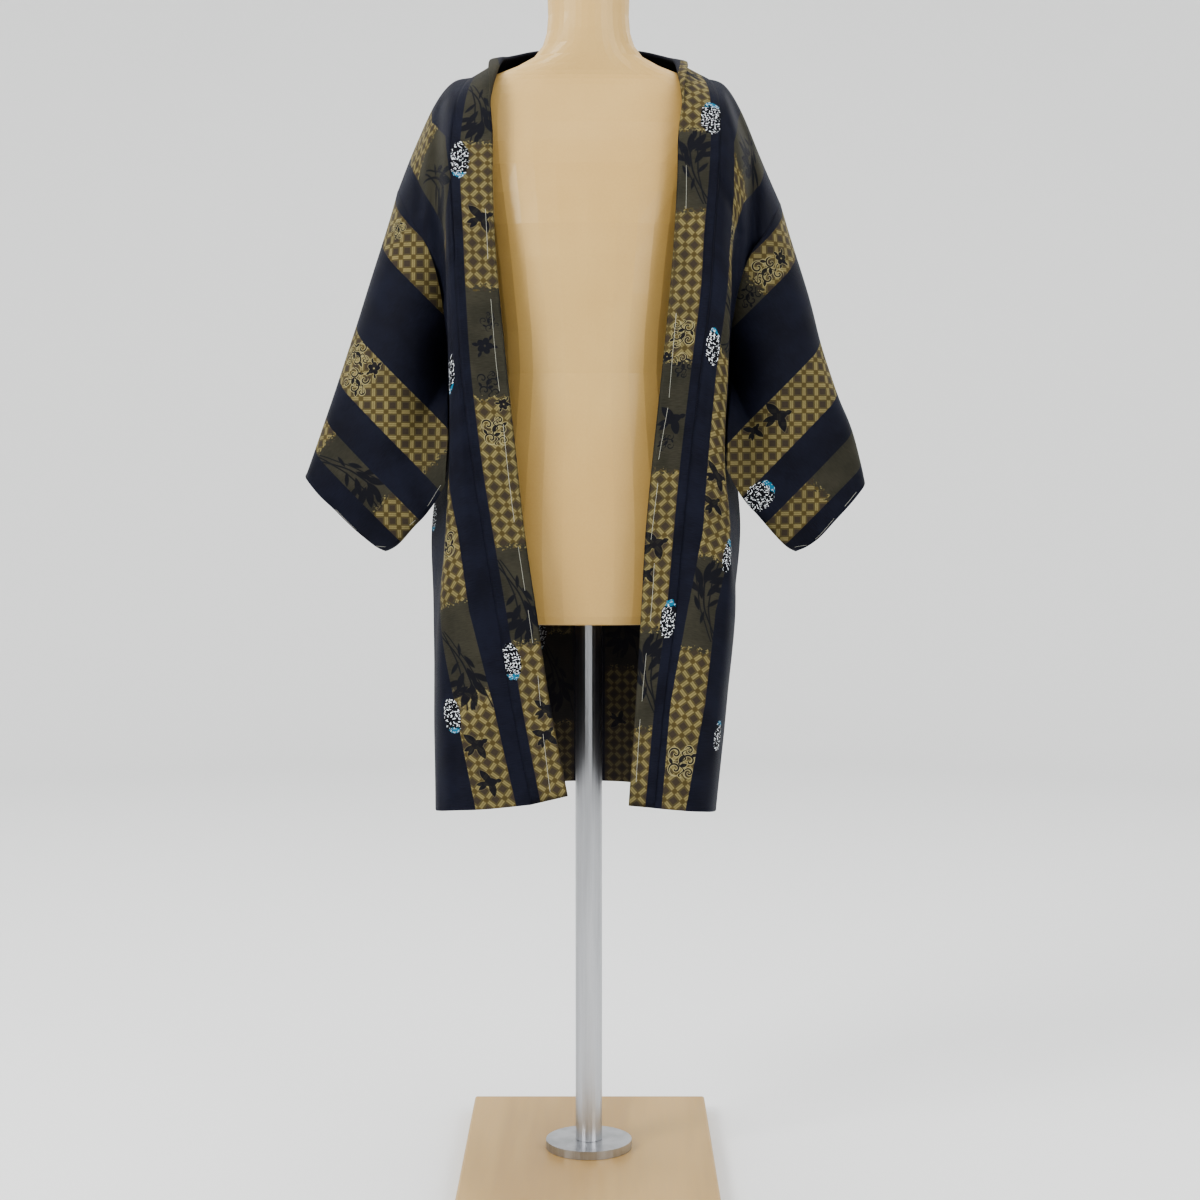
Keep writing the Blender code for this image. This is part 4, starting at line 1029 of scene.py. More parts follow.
def wired(kind, *sources, **settings):
    """A new node in its sources' own tree, with its first inputs plugged in their order."""
    node = tree_of(sources).nodes.new("ShaderNode" + kind)
    for name, value in settings.items():
        setattr(node, name, value)
    for socket, source in zip(node.inputs, sources):
        plug(socket, source)
    return node


def calc(operation, *sources):
    return wired("Math", *sources, operation=operation).outputs[0]


def times(first, second):
    return calc("MULTIPLY", first, second)


def plus(first, second):
    return calc("ADD", first, second)


def minus(first, second):
    return calc("SUBTRACT", first, second)


def vector_calc(operation, *sources):
    node = wired("VectorMath", *sources, operation=operation)
    return node.outputs["Value"] if operation == "LENGTH" else node.outputs[0]


def split(vector):
    """The x and y of a vector."""
    return wired("SeparateXYZ", vector).outputs[:2]


def turned(vector, angle):
    """A vector turned about z by an angle in radians."""
    return fill(wired("VectorRotate", vector, rotation_type="Z_AXIS"), Angle=angle).outputs[0]


def step(value, low, high):
    """0 at low, 1 at high, and a soft step between them. With low above high, it falls instead."""
    node = wired("MapRange", value, interpolation_type="SMOOTHSTEP")
    return fill(node, From_Min=low, From_Max=high).outputs[0]


def noise_texture(place, scale, detail):
    return fill(wired("TexNoise", place), Scale=scale, Detail=detail).outputs[0]


def cell_texture(place, scale, randomness=1.0):
    """Voronoi cells in the plane: the cell's own place, and three random numbers for it."""
    node = fill(wired("TexVoronoi", place, voronoi_dimensions="2D"), Scale=scale, Randomness=randomness)
    return node.outputs["Position"], wired("SeparateColor", node.outputs["Color"]).outputs


def blend(share, first, second):
    """The first colour where share is 0 and the second where it is 1."""
    node = wired("Mix", share, data_type="RGBA")
    plug(node.inputs[6], first)
    plug(node.inputs[7], second)
    return node.outputs[2]


def use(group, **sources):
    """Puts a group into the tree of its sources."""
    node = tree_of(sources.values()).nodes.new("ShaderNodeGroup")
    node.node_tree = group
    return fill(node, **sources).outputs


def union(depths):
    """The deepest of several depths."""
    total = depths[0]
    for depth in depths[1:]:
        total = calc("MAXIMUM", total, depth)
    return total


def dye(red, green, blue):
    """A colour from its 0 to 255 display values, as the linear light that a shader takes."""
    display = [value / 255 for value in (red, green, blue)]
    return (*[c / 12.92 if c <= 0.04 else ((c + 0.055) / 1.055) ** 2.4 for c in display], 1.0)


print("mid grey in linear light:", round(dye(128, 128, 128)[0], 3))

# %% One leaf, one curl and one stem
SWAY_PACE = 9.0      # radians of a stem's sway for each unit along it


def leaf_group():
    """A pointed leaf: length and width are half sizes, turn is in radians."""
    tree, given, result = new_group("leaf", ["Place", "Middle", "Turn", "Length", "Width"], ["Depth"])
    away = vector_calc("SUBTRACT", given["Place"], given["Middle"])
    x, y = split(turned(away, times(given["Turn"], -1.0)))
    along = calc("DIVIDE", x, given["Length"])
    taper = minus(1.0, times(along, along))
    edge = times(taper, given["Width"])
    fill(result, Depth=minus(edge, calc("ABSOLUTE", y)))
    return tree


def curl_group():
    """A tendril that winds outwards: pitch is the gap between turns, reach its outer radius."""
    tree, given, result = new_group("curl", ["Place", "Middle", "Pitch", "Reach", "Thick"], ["Depth"])
    away = vector_calc("SUBTRACT", given["Place"], given["Middle"])
    x, y = split(away)
    radius = vector_calc("LENGTH", away)
    angle = calc("DIVIDE", calc("ARCTAN2", y, x), 2 * math.pi)
    turns = minus(calc("DIVIDE", radius, given["Pitch"]), angle)
    off = calc("ABSOLUTE", minus(calc("FRACT", turns), 0.5))
    line = minus(given["Thick"], times(off, given["Pitch"]))
    inside = minus(given["Reach"], radius)
    fill(result, Depth=calc("MINIMUM", line, inside))
    return tree


def stem_group():
    """A thin stem up the figure: x follows start + lean * y + bow * y * y, and sways a little."""
    tree, given, result = new_group(
        "stem", ["Place", "Start", "Lean", "Bow", "Sway", "Thick", "Reach"], ["Depth"])
    x, y = split(given["Place"])
    swing = calc("SINE", times(y, SWAY_PACE))
    sway = times(swing, given["Sway"])
    leaning = calc("MULTIPLY_ADD", y, given["Lean"], given["Start"])
    bowed = calc("MULTIPLY_ADD", times(y, y), given["Bow"], leaning)
    off = calc("ABSOLUTE", minus(x, plus(bowed, sway)))
    line = minus(given["Thick"], off)
    inside = minus(given["Reach"], calc("ABSOLUTE", y))
    fill(result, Depth=calc("MINIMUM", line, inside))
    return tree


leaf, curl, stem = leaf_group(), curl_group(), stem_group()
print("one leaf takes", len(leaf.nodes), "nodes and is used many times")

# %% The parts that the figures are put together from
# leaves are (x, y, turn in degrees, half length, half width) in the figure's frame
SPRAY_LEAVES = [
    (-0.26, -0.56, 205, 0.30, 0.098), (-0.10, -0.68, 232, 0.30, 0.104), (0.10, -0.64, 268, 0.29, 0.096),
    (0.28, -0.50, 300, 0.27, 0.092), (-0.34, -0.33, 190, 0.25, 0.078), (0.39, -0.27, 325, 0.24, 0.078),
    (-0.15, -0.30, 238, 0.26, 0.084), (0.17, -0.20, 290, 0.24, 0.074), (0.02, -0.86, 250, 0.17, 0.060),
    (0.19, 0.14, 300, 0.20, 0.058), (-0.22, 0.04, 225, 0.20, 0.056), (0.00, 0.46, 262, 0.17, 0.046),
]
SWALLOW_PARTS = [
    # body, two wings, the forked tail, head
    (0.04, 0.02, 20, 0.56, 0.300), (-0.34, 0.36, 138, 0.62, 0.270), (0.20, -0.42, 286, 0.60, 0.260),
    (-0.56, -0.20, 202, 0.44, 0.160), (-0.48, -0.40, 224, 0.42, 0.150), (0.56, 0.22, 22, 0.24, 0.150),
]
BLOSSOM_LEAVES = [
    (-0.70, 0.10, 170, 0.30, 0.14), (0.72, -0.06, 350, 0.28, 0.13), (0.48, 0.62, 60, 0.26, 0.11),
    (-0.42, -0.64, 235, 0.28, 0.12),
]
VINE_LEAVES = [
    (-0.05, 0.16, 60, 0.28, 0.130), (0.10, -0.24, 200, 0.26, 0.120), (-0.66, -0.06, 120, 0.22, 0.100),
    (0.66, 0.44, 30, 0.22, 0.100),
]
# curls are (x, y, gap between turns, outer radius, half thickness)
VINE_CURLS = [
    (-0.46, 0.40, 0.40, 0.40, 0.052), (0.42, 0.06, 0.44, 0.44, 0.052), (-0.36, -0.50, 0.38, 0.40, 0.050),
    (0.48, -0.64, 0.32, 0.30, 0.046), (0.34, 0.70, 0.32, 0.28, 0.046),
]
# stems are (start, lean, bow, sway, half thickness, reach)
SPRAY_STEMS = [
    (0.05, -0.28, -0.30, 0.006, 0.024, 1.0), (-0.10, -0.12, -0.16, 0.006, 0.020, 1.0),
    (0.18, -0.40, -0.10, 0.006, 0.018, 1.0),
]
VINE_STEM = (0.0, 0.10, 0.20, 0.16, 0.046, 0.96)
PETALS, PETAL_RIM, PETAL_WAVE, HEART = 5, 0.42, 0.22, 0.085     # count, then radii of the blossom


def leaf_depths(place, leaves):
    return [use(leaf, Place=place, Middle=(x, y, 0.0), Turn=math.radians(turn), Length=length,
                Width=width)["Depth"] for x, y, turn, length, width in leaves]


def stem_depths(place, stems):
    return [use(stem, Place=place, Start=start, Lean=lean, Bow=bow, Sway=sway, Thick=thick,
                Reach=reach)["Depth"] for start, lean, bow, sway, thick, reach in stems]


def curl_depths(place, curls):
    return [use(curl, Place=place, Middle=(x, y, 0.0), Pitch=pitch, Reach=reach,
                Thick=thick)["Depth"] for x, y, pitch, reach, thick in curls]


def blossom_depth(place):
    """A round of petals with an open heart."""
    x, y = split(place)
    radius = vector_calc("LENGTH", place)
    angle = times(calc("ARCTAN2", y, x), PETALS / 2)
    lobes = calc("ABSOLUTE", calc("COSINE", angle))
    rim = calc("MULTIPLY_ADD", lobes, PETAL_WAVE, PETAL_RIM)
    return calc("MINIMUM", minus(rim, radius), minus(radius, HEART))


print("leaves in a spray:", len(SPRAY_LEAVES))

# %% [markdown]
# ## The four figures
#
# Sprays of bamboo leaves on arching stems, a swallow in flight, a five-lobed blossom and a curling
# vine are traditional motifs of Japanese weaving. Each is put together from leaves, curls and
# stems, in a frame that runs from -1 to 1.

# %% Leaf spray, swallow, blossom and vine
def figure_group(name, parts):
    """A group that returns how deep a place lies inside the figure; parts(place) draws it."""
    tree, given, result = new_group(name, ["Place"], ["Depth"])
    fill(result, Depth=union(parts(given["Place"])))
    return tree


def spray_parts(place):
    return leaf_depths(place, SPRAY_LEAVES) + stem_depths(place, SPRAY_STEMS)


def swallow_parts(place):
    return leaf_depths(place, SWALLOW_PARTS)


def blossom_parts(place):
    return [blossom_depth(place)] + leaf_depths(place, BLOSSOM_LEAVES)


def vine_parts(place):
    return (curl_depths(place, VINE_CURLS) + stem_depths(place, [VINE_STEM])
            + leaf_depths(place, VINE_LEAVES))


figure_groups = {
    LEAVES: figure_group("bamboo spray", spray_parts), BIRD: figure_group("swallow", swallow_parts),
    BLOSSOM: figure_group("blossom", blossom_parts), VINE: figure_group("vine", vine_parts),
}
print("nodes in the figures:", {kind: len(tree.nodes) for kind, tree in figure_groups.items()})

# %% [markdown]
# ## The lattice
#
# The gold blocks show a trellis: ribbons at 45 degrees to the selvedge, crossing every 15 mm, with
# a dark square in each opening. Folding the turned coordinates with a fraction node repeats one
# cell for ever. Two comparisons then tell ribbon from opening, and where both ribbons meet is a
# crossing. Thin lines along the ribbons and a dark line round each part are the weaver's detail.

# %% Lattice
LATTICE_PITCH = 1.5               # cm from ribbon to ribbon, and the rest are shares of it
RIBBON_SHARE = 0.28               # the ribbon's pale width
RIBBON_SOFTNESS = 0.012           # half the soft edge of a ribbon
BORDER_PLACE = 0.026              # how far outside the ribbon its dark border runs
BORDER_EDGE = (0.040, 0.024)      # from the border's faint rim to its full colour
BORDER_IN_OPENING = 0.55          # the border's strength away from the other ribbons
PINSTRIPE_EDGE = (0.034, 0.016)   # the line down the middle of a ribbon, from rim to full colour
CORE_EDGE = (0.110, 0.160)        # how far inside an opening the dark core begins and is full
LATTICE_CELLS = 40.0              # whole cells added, so that the fraction is of a positive number


def lattice_group():
    outputs = ["Bar", "Crossing", "Line", "Pinstripe", "Core"]
    tree, given, result = new_group("trellis", ["Cloth"], outputs)
    a, v = split(given["Cloth"])
    scale = 1 / (math.sqrt(2) * LATTICE_PITCH)
    ribbons, pinstripes, borders, openings = [], [], [], []
    for joined in (plus(a, v), minus(a, v)):
        cell = calc("FRACT", calc("MULTIPLY_ADD", joined, scale, LATTICE_CELLS))
        off = calc("ABSOLUTE", minus(cell, 0.5))
        inner = minus(RIBBON_SHARE / 2, off)
        ribbons.append(step(inner, -RIBBON_SOFTNESS, RIBBON_SOFTNESS))
        from_border = calc("ABSOLUTE", plus(inner, BORDER_PLACE))
        borders.append(step(from_border, *BORDER_EDGE))
        openings.append(times(inner, -1.0))
        pinstripes.append(step(off, *PINSTRIPE_EDGE))
    crossing = times(*ribbons)
    either = calc("MAXIMUM", *ribbons)
    fill(result, Bar=minus(either, crossing), Crossing=crossing)
    seen = [times(border, calc("MAXIMUM", other, BORDER_IN_OPENING))
            for border, other in zip(borders, reversed(ribbons))]
    core = step(calc("MINIMUM", *openings), *CORE_EDGE)
    fill(result, Line=calc("MAXIMUM", *seen), Pinstripe=calc("MAXIMUM", *pinstripes), Core=core)
    return tree


lattice = lattice_group()
print("the trellis takes", len(lattice.nodes), "nodes")

# %% [markdown]
# ## The snow roundels
#
# A roundel is a dark disc with a ragged rim, covered in small white shards that stand for snow, and
# its lower end turns turquoise. Painting each shard would take a long table. Voronoi cells give a
# place for each one instead, and the cell's random numbers turn it, size it and leave some out.

# %% Snow roundels
RIM_NOISE = (2.2, 2.0)            # the rim's noise: scale for each cm, and detail
RIM_WAVE, RIM_LOW = 0.40, 0.78    # the rim's radius is low plus wave times the noise
RIM_SOFTNESS = 0.04
Sliver = namedtuple("Sliver", "scale longest widest share")
SLIVERS = [
    # cells for each cm, the longest half length and half width in cm, share of the cells in use
    Sliver(2.6, 0.180, 0.062, 0.84), Sliver(4.3, 0.090, 0.034, 0.50),
]
SLIVER_SCATTER = 0.8                                  # how irregular the cells are
SLIVER_LENGTH, SLIVER_WIDTH = (0.55, 0.55), (0.6, 0.5)   # (random, fixed) shares of the longest, widest
SLIVER_CORNERS = 0.70             # 0.5 is a plain lozenge and 1 a square: how far its corners reach
SLIVER_EDGE = (1.06, 0.94)
CHANCE_STRETCH = 7.0              # makes a new random number from the one that gave the length
FROST_WAVE, FROST_EDGE = 0.5, (-0.38, -0.50)     # the turquoise end: noise, and from where it is full


def sliver_mask(cloth, sliver):
    """1 inside the shards of one size and 0 outside."""
    middle, chances = cell_texture(cloth, sliver.scale, SLIVER_SCATTER)
    away = vector_calc("SUBTRACT", cloth, middle)
    along, across = split(turned(away, times(chances[0], 2 * math.pi)))
    length = calc("MULTIPLY_ADD", chances[1], *[share * sliver.longest for share in SLIVER_LENGTH])
    width = calc("MULTIPLY_ADD", chances[2], *[share * sliver.widest for share in SLIVER_WIDTH])
    end = calc("DIVIDE", calc("ABSOLUTE", along), length)
    side = calc("DIVIDE", calc("ABSOLUTE", across), width)
    square = calc("MAXIMUM", end, side)
    lozenge = times(plus(end, side), SLIVER_CORNERS)
    shard = step(calc("MAXIMUM", square, lozenge), *SLIVER_EDGE)
    again = calc("FRACT", times(chances[1], CHANCE_STRETCH))
    return times(shard, calc("LESS_THAN", again, sliver.share))


def roundel_group():
    """Inside: the dark disc. Snow: slivers of white on it. Frost: the end that turns turquoise."""
    tree, given, result = new_group("snow roundel", ["Frame", "Cloth"], ["Inside", "Snow", "Frost"])
    height = split(given["Frame"])[1]
    away = vector_calc("LENGTH", given["Frame"])
    ragged = noise_texture(given["Cloth"], *RIM_NOISE)
    rim = calc("MULTIPLY_ADD", ragged, RIM_WAVE, RIM_LOW)
    inside = step(minus(rim, away), 0.0, RIM_SOFTNESS)
    slivers = [sliver_mask(given["Cloth"], sliver) for sliver in SLIVERS]
    snow = times(calc("MAXIMUM", *slivers), inside)
    low = step(calc("MULTIPLY_ADD", ragged, FROST_WAVE, height), *FROST_EDGE)
    fill(result, Inside=inside, Snow=snow, Frost=times(low, inside))
    return tree


roundel = roundel_group()
print("the roundel takes", len(roundel.nodes), "nodes")

# %% [markdown]
# ## Threads
#
# The ground is a fine ribbed silk: thin warp, slightly thicker weft, and now and then a slub. The
# threads are too fine to model, so they go into a height for the Bump node and a few per cent of
# colour. Everything is in centimetres of cloth, because the UV maps are.

# %% Weave
WARP_PITCH, WEFT_PITCH = 0.055, 0.075      # cm from thread to thread
RIB, RIB_HEIGHT, SLUB_HEIGHT = 0.6, 0.25, 1.4       # how much weft, threads and slubs stand out
SLUB_STRETCH = (1.2, 14.0, 1.0)            # slubs are long across the cloth and thin along it
SLUB_NOISE, CLOUD_NOISE = (1.0, 3.0), (0.22, 4.0)   # scale for each cm, and detail
SLUB_SHADE, CLOUD_SHADE = 0.45, 0.55


def weave_group():
    tree, given, result = new_group("silk threads", ["Cloth"], ["Height", "Shade"])
    a, v = split(given["Cloth"])
    warp = calc("SINE", times(a, 2 * math.pi / WARP_PITCH))
    weft = calc("SINE", times(v, 2 * math.pi / WEFT_PITCH))
    rib = calc("MULTIPLY_ADD", weft, RIB, times(warp, weft))
    stretched = vector_calc("MULTIPLY", given["Cloth"], SLUB_STRETCH)
    slub = noise_texture(stretched, *SLUB_NOISE)
    cloudy = noise_texture(given["Cloth"], *CLOUD_NOISE)
    threads = times(rib, RIB_HEIGHT)
    fill(result, Height=calc("MULTIPLY_ADD", slub, SLUB_HEIGHT, threads))
    fill(result, Shade=plus(times(slub, SLUB_SHADE), times(cloudy, CLOUD_SHADE)))
    return tree


weave = weave_group()
print("the threads take", len(weave.nodes), "nodes")

# %% Helpers for the materials
def new_material(name):
    """A material, its node tree and its shader."""
    material = bpy.data.materials.new(name)
    material.use_nodes = True
    return material, material.node_tree, material.node_tree.nodes["Principled BSDF"]


def add_bump(shader, height, strength, distance):
    """Turns a height into a Bump node on the shader; distance is in metres."""
    bump = shader.id_data.nodes.new("ShaderNodeBump")
    fill(shader, Normal=fill(bump, Strength=strength, Distance=distance, Height=height).outputs[0])


def uv_place(tree, name):
    node = tree.nodes.new("ShaderNodeUVMap")
    node.uv_map = name
    return node.outputs[0]


print("a material is a tree of nodes round one shader, and its bumps are in metres")

# %% [markdown]
# ## The figured silk
#
# The material lays the pattern down in the order in which the eye takes it apart: dark ground,
# olive band, trellis, figure, roundel. Each layer is one mix, driven by a mask from the groups. The
# trellis fades out at the end of a block in small dots, as the weaver's pattern does. The wrong side
# of the cloth is the same material with duller colours, because the pattern yarns float there.

# %% Colours of the yarns
YARNS = {
    # dark ground (two tones), olive ground (two tones)
    "navy low": dye(15, 16, 26), "navy high": dye(25, 27, 40),
    "olive low": dye(42, 41, 34), "olive high": dye(57, 55, 46),
    # trellis: bar, crossing, the opening and its core, dark line
    "bar": dye(121, 112, 76), "crossing": dye(78, 68, 41),
    "opening": dye(77, 69, 47), "core": dye(59, 51, 42),
    "line": dye(74, 61, 33),
    # figures and their pale outline on the trellis
    "figure": dye(18, 19, 27), "outline": dye(150, 142, 104),
    # roundels
    "disc": dye(13, 14, 20), "snow": dye(222, 226, 230),
    "frost": dye(36, 112, 142),
}
REVERSE_GREY, REVERSE_SHARE = dye(40, 38, 44), 0.55     # where, and how far, the back fades


def duller(yarns, towards, share):
    return {name: tuple(a + (b - a) * share for a, b in zip(colour, towards))
            for name, colour in yarns.items()}


print(len(YARNS), "yarn colours")

# %% Layers of the silk
TONE_EDGE = (0.36, 0.64)          # the weave's shade, as a mask between two tones of a yarn
LINE_STRENGTHS = {"Pinstripe": 0.45, "Line": 0.80}
TRELLIS_SHADING = 0.30            # how much of the weave's shade the trellis takes
DOTS_PER_CM, FADE_EDGE = 5.5, (-0.35, -0.25)     # the dots in which a block of trellis ends
FIGURE_EDGE, OUTLINE_EDGE = (-0.012, 0.016), (-0.060, -0.040)     # in the figure's frame
FIGURE_STRENGTH = 0.93
KIND_MARGIN = 0.1                 # a face's kind may be this far from a figure's number
CURLING_EDGE = (BIRD + 0.4, BIRD + 0.6)     # above this, the kinds are blossoms and vines
OUTLINE_STRENGTH, OUTLINE_ON_CURLS = 0.15, 0.55     # on leaves and birds, and what is added on others
FROST_ON_DISC, FROST_ON_SNOW = 0.80, 0.50


def trellis_colour(cloth, tone, yarns):
    trellis = use(lattice, Cloth=cloth)
    gold = blend(trellis["Core"], yarns["opening"], yarns["core"])
    gold = blend(trellis["Bar"], gold, yarns["bar"])
    gold = blend(trellis["Crossing"], gold, yarns["crossing"])
    for line, strength in LINE_STRENGTHS.items():
        gold = blend(times(trellis[line], strength), gold, yarns["line"])
    return blend(times(tone, TRELLIS_SHADING), gold, yarns["olive low"])


def block_mask(cloth, into_block):
    """1 inside a block of trellis, which ends in small dots."""
    chances = cell_texture(cloth, DOTS_PER_CM)[1]
    return step(minus(into_block, chances[0]), *FADE_EDGE)


def figure_masks(tree, in_block):
    """Masks of the figures and of their pale outline, which shows on the trellis only."""
    place = uv_place(tree, "Figure")
    kind = split(uv_place(tree, "Kind"))[0]
    depths = []
    for number, group in figure_groups.items():
        chosen = calc("COMPARE", kind, float(number), KIND_MARGIN)
        depth = use(group, Place=place)["Depth"]
        depths.append(times(plus(depth, 1.0), chosen))
    depth = minus(union(depths), 1.0)
    inside = step(depth, *FIGURE_EDGE)
    outside = minus(1.0, inside)
    rim = times(step(depth, *OUTLINE_EDGE), outside)
    curling = step(kind, *CURLING_EDGE)
    strength = calc("MULTIPLY_ADD", curling, OUTLINE_ON_CURLS, OUTLINE_STRENGTH)
    return inside, times(times(rim, in_block), strength)


def with_roundels(colour, disc, yarns):
    """The cloth's colour with the roundels laid over it."""
    colour = blend(disc["Inside"], colour, yarns["disc"])
    colour = blend(times(disc["Frost"], FROST_ON_DISC), colour, yarns["frost"])
    frosted = times(disc["Frost"], FROST_ON_SNOW)
    return blend(disc["Snow"], colour, blend(frosted, yarns["snow"], yarns["frost"]))


print("layers: ground, olive, trellis, outline, figure, roundel")

# %% The figured silk and its reverse
BAND_EDGE = (-0.02, 0.02)         # cm across the edge of a gold band
BAND_RISE, BAND_RISE_EDGE = 0.9, (0.0, 0.05)     # how far the bands stand out, and over how many cm
BUMP_STRENGTH, BUMP_DISTANCE = 0.28, 0.0004
TONE_ROUGHNESS, RISE_ROUGHNESS = 0.10, 0.06      # what the tone and the raised yarns add


def figured_silk(name, yarns, roughness, sheen):
    material, tree, shader = new_material(name)
    cloth = uv_place(tree, "Cloth")
    into_band, into_block = split(uv_place(tree, "Field"))
    threads = use(weave, Cloth=cloth)
    disc = use(roundel, Frame=uv_place(tree, "Roundel"), Cloth=cloth)
    tone = step(threads["Shade"], *TONE_EDGE)

    ground = blend(tone, yarns["navy low"], yarns["navy high"])
    olive = blend(tone, yarns["olive low"], yarns["olive high"])
    in_block = block_mask(cloth, into_block)
    band = blend(in_block, olive, trellis_colour(cloth, tone, yarns))
    figure, outline = figure_masks(tree, in_block)
    band = blend(outline, band, yarns["outline"])
    band = blend(times(figure, FIGURE_STRENGTH), band, yarns["figure"])
    colour = blend(step(into_band, *BAND_EDGE), ground, band)
    fill(shader, Base_Color=with_roundels(colour, disc, yarns))

    raised = times(step(into_band, *BAND_RISE_EDGE), BAND_RISE)
    raised = plus(raised, disc["Snow"])
    add_bump(shader, plus(threads["Height"], raised), BUMP_STRENGTH, BUMP_DISTANCE)
    matt = calc("MULTIPLY_ADD", tone, TONE_ROUGHNESS, roughness)
    matt = plus(matt, times(raised, RISE_ROUGHNESS))
    fill(shader, Roughness=matt, Specular_IOR_Level=0.08, Sheen_Weight=sheen, Sheen_Roughness=0.45)
    return material


silk = figured_silk("figured silk", YARNS, roughness=0.55, sheen=0.015)
reverse = figured_silk("reverse of the silk", duller(YARNS, REVERSE_GREY, REVERSE_SHARE),
                       roughness=0.62, sheen=0.01)
print("the silk material has", len(silk.node_tree.nodes), "nodes of its own")

# %% [markdown]
# ## Thickness
#
# The body, the wedges and the sleeves are single cloth. Their faces are turned away from the middle
# of the jacket first, and only then does Solidify add the wrong side, so that the figured silk is
# outside and the plainer back of the weave is inside.

# %% Give the single layers their thickness
# a place inside each piece, outward, behind and up in metres
INSIDE_PANEL, INSIDE_WEDGES, INSIDE_SLEEVE = (0.10, 0.0, 0.85), (0.0, 0.0, 0.6), (0.245, 0.0, 0.95)
for side in (RIGHT, LEFT):
    for piece, inside in ((panels[side], INSIDE_PANEL), (gussets[side], INSIDE_WEDGES),
                          (sleeves[side], INSIDE_SLEEVE)):
        outward(piece, (side * inside[0], *inside[1:]))
        piece.data.materials.append(silk)
        piece.data.materials.append(reverse)
        give_thickness(piece, CLOTH)
collar.data.materials.append(silk)
print("the collar has the", silk.name, "all round")

# %% [markdown]
# ## Seams
#
# Where two pieces are sewn, the cloth dips into a fine groove and the thread lies at the bottom of
# it. The groove is the small gap that was left between the pieces' edges. A thin dark tube along
# each seam is the thread, and it also closes the gap, so no light comes through.

# %% Thread helpers
THREAD_SIDES = 6
TIP_SHARE = 0.35        # the thread's thickness at its tips


def thread_piece(name, runs, radius):
    """Thin tubes with tapered ends, all in one mesh. Each run is (points, normals) in metres."""
    points, faces, twist = [], [], []
    turn = np.linspace(0, 2 * math.pi, THREAD_SIDES, endpoint=False)
    for path, normals in runs:
        ahead = np.gradient(path, axis=0)
        ahead /= np.linalg.norm(ahead, axis=1, keepdims=True)
        aside = np.cross(ahead, normals)
        aside /= np.linalg.norm(aside, axis=1, keepdims=True)
        up = np.cross(aside, ahead)
        ring = aside[:, None] * np.cos(turn)[None, :, None] + up[:, None] * np.sin(turn)[None, :, None]
        reach = np.full(len(path), radius)
        reach[0] = reach[-1] = radius * TIP_SHARE
        first = len(points)
        points += (path[:, None] + ring * reach[:, None, None]).reshape(-1, 3).tolist()
        along = lengths_along(path) / CM
        for i in range(len(path) - 1):
            for j in range(THREAD_SIDES):
                k = (j + 1) % THREAD_SIDES
                row, above = first + i * THREAD_SIDES, first + (i + 1) * THREAD_SIDES
                faces.append((row + j, row + k, above + k, above + j))
                near, far = j / THREAD_SIDES, (j + 1) / THREAD_SIDES
                twist += [(near, along[i]), (far, along[i]), (far, along[i + 1]), (near, along[i + 1])]
        last = first + (len(path) - 1) * THREAD_SIDES
        faces.append(tuple(first + j for j in reversed(range(THREAD_SIDES))))
        faces.append(tuple(last + j for j in range(THREAD_SIDES)))
        twist += [(0.0, 0.0)] * (2 * THREAD_SIDES)
    piece = new_piece(name, points, faces)
    add_map(piece, "Twist", twist)
    merge_and_face_out(piece)
    print(name, "has", len(runs), "runs and", len(faces), "faces")
    return piece


def thread_material(name, dark, light, lay):
    """Twisted thread: a slanting stripe for each of the plies, lay cm long, which is both a bump and
    painted shade: the colour goes from light on the crests to dark in the grooves between plies.
    """
    material, tree, shader = new_material(name)
    around, along = split(uv_place(tree, "Twist"))
    turns = plus(around, calc("DIVIDE", along, lay))
    wave = calc("SINE", times(turns, 2 * math.pi))
    ply_relief_and_shade = calc("MULTIPLY_ADD", wave, 0.5, 0.5)
    # painted shade: the thread's colour darkens in the grooves between its plies, where shade falls
    fill(shader, Base_Color=blend(ply_relief_and_shade, dark, light))
    add_bump(shader, ply_relief_and_shade, strength=0.4, distance=0.0002)
    fill(shader, Roughness=0.6, Specular_IOR_Level=0.2)
    return material


# each thread's first colour is its painted shade in the grooves between plies, the second its colour on
# the crests
seam_thread = thread_material("dark silk thread", dye(10, 11, 18), dye(24, 25, 38), 0.10)
white_cotton = thread_material("white basting cotton", dye(140, 140, 130), dye(194, 194, 182), 0.16)
print("threads:", seam_thread.name, "and", white_cotton.name)

# %% Sew the seams
SEAM_RADIUS = 0.0006        # metres
WEDGE_SEAM_POINTS, ARMHOLE_SEAM_POINTS = 80, 140


def seam_piece(name, *lines):
    """A dark thread along each line of points, given in metres."""
    runs = []
    for line in lines:
        ahead = np.gradient(line, axis=0)
        sideways = np.cross(ahead, [0.0, 0.0, 1.0]) + np.array([1e-6, 0.0, 0.0])
        runs.append((line, np.cross(sideways, ahead)))
    seam = thread_piece(name, runs, SEAM_RADIUS)
    seam.data.materials.append(seam_thread)
    return seam


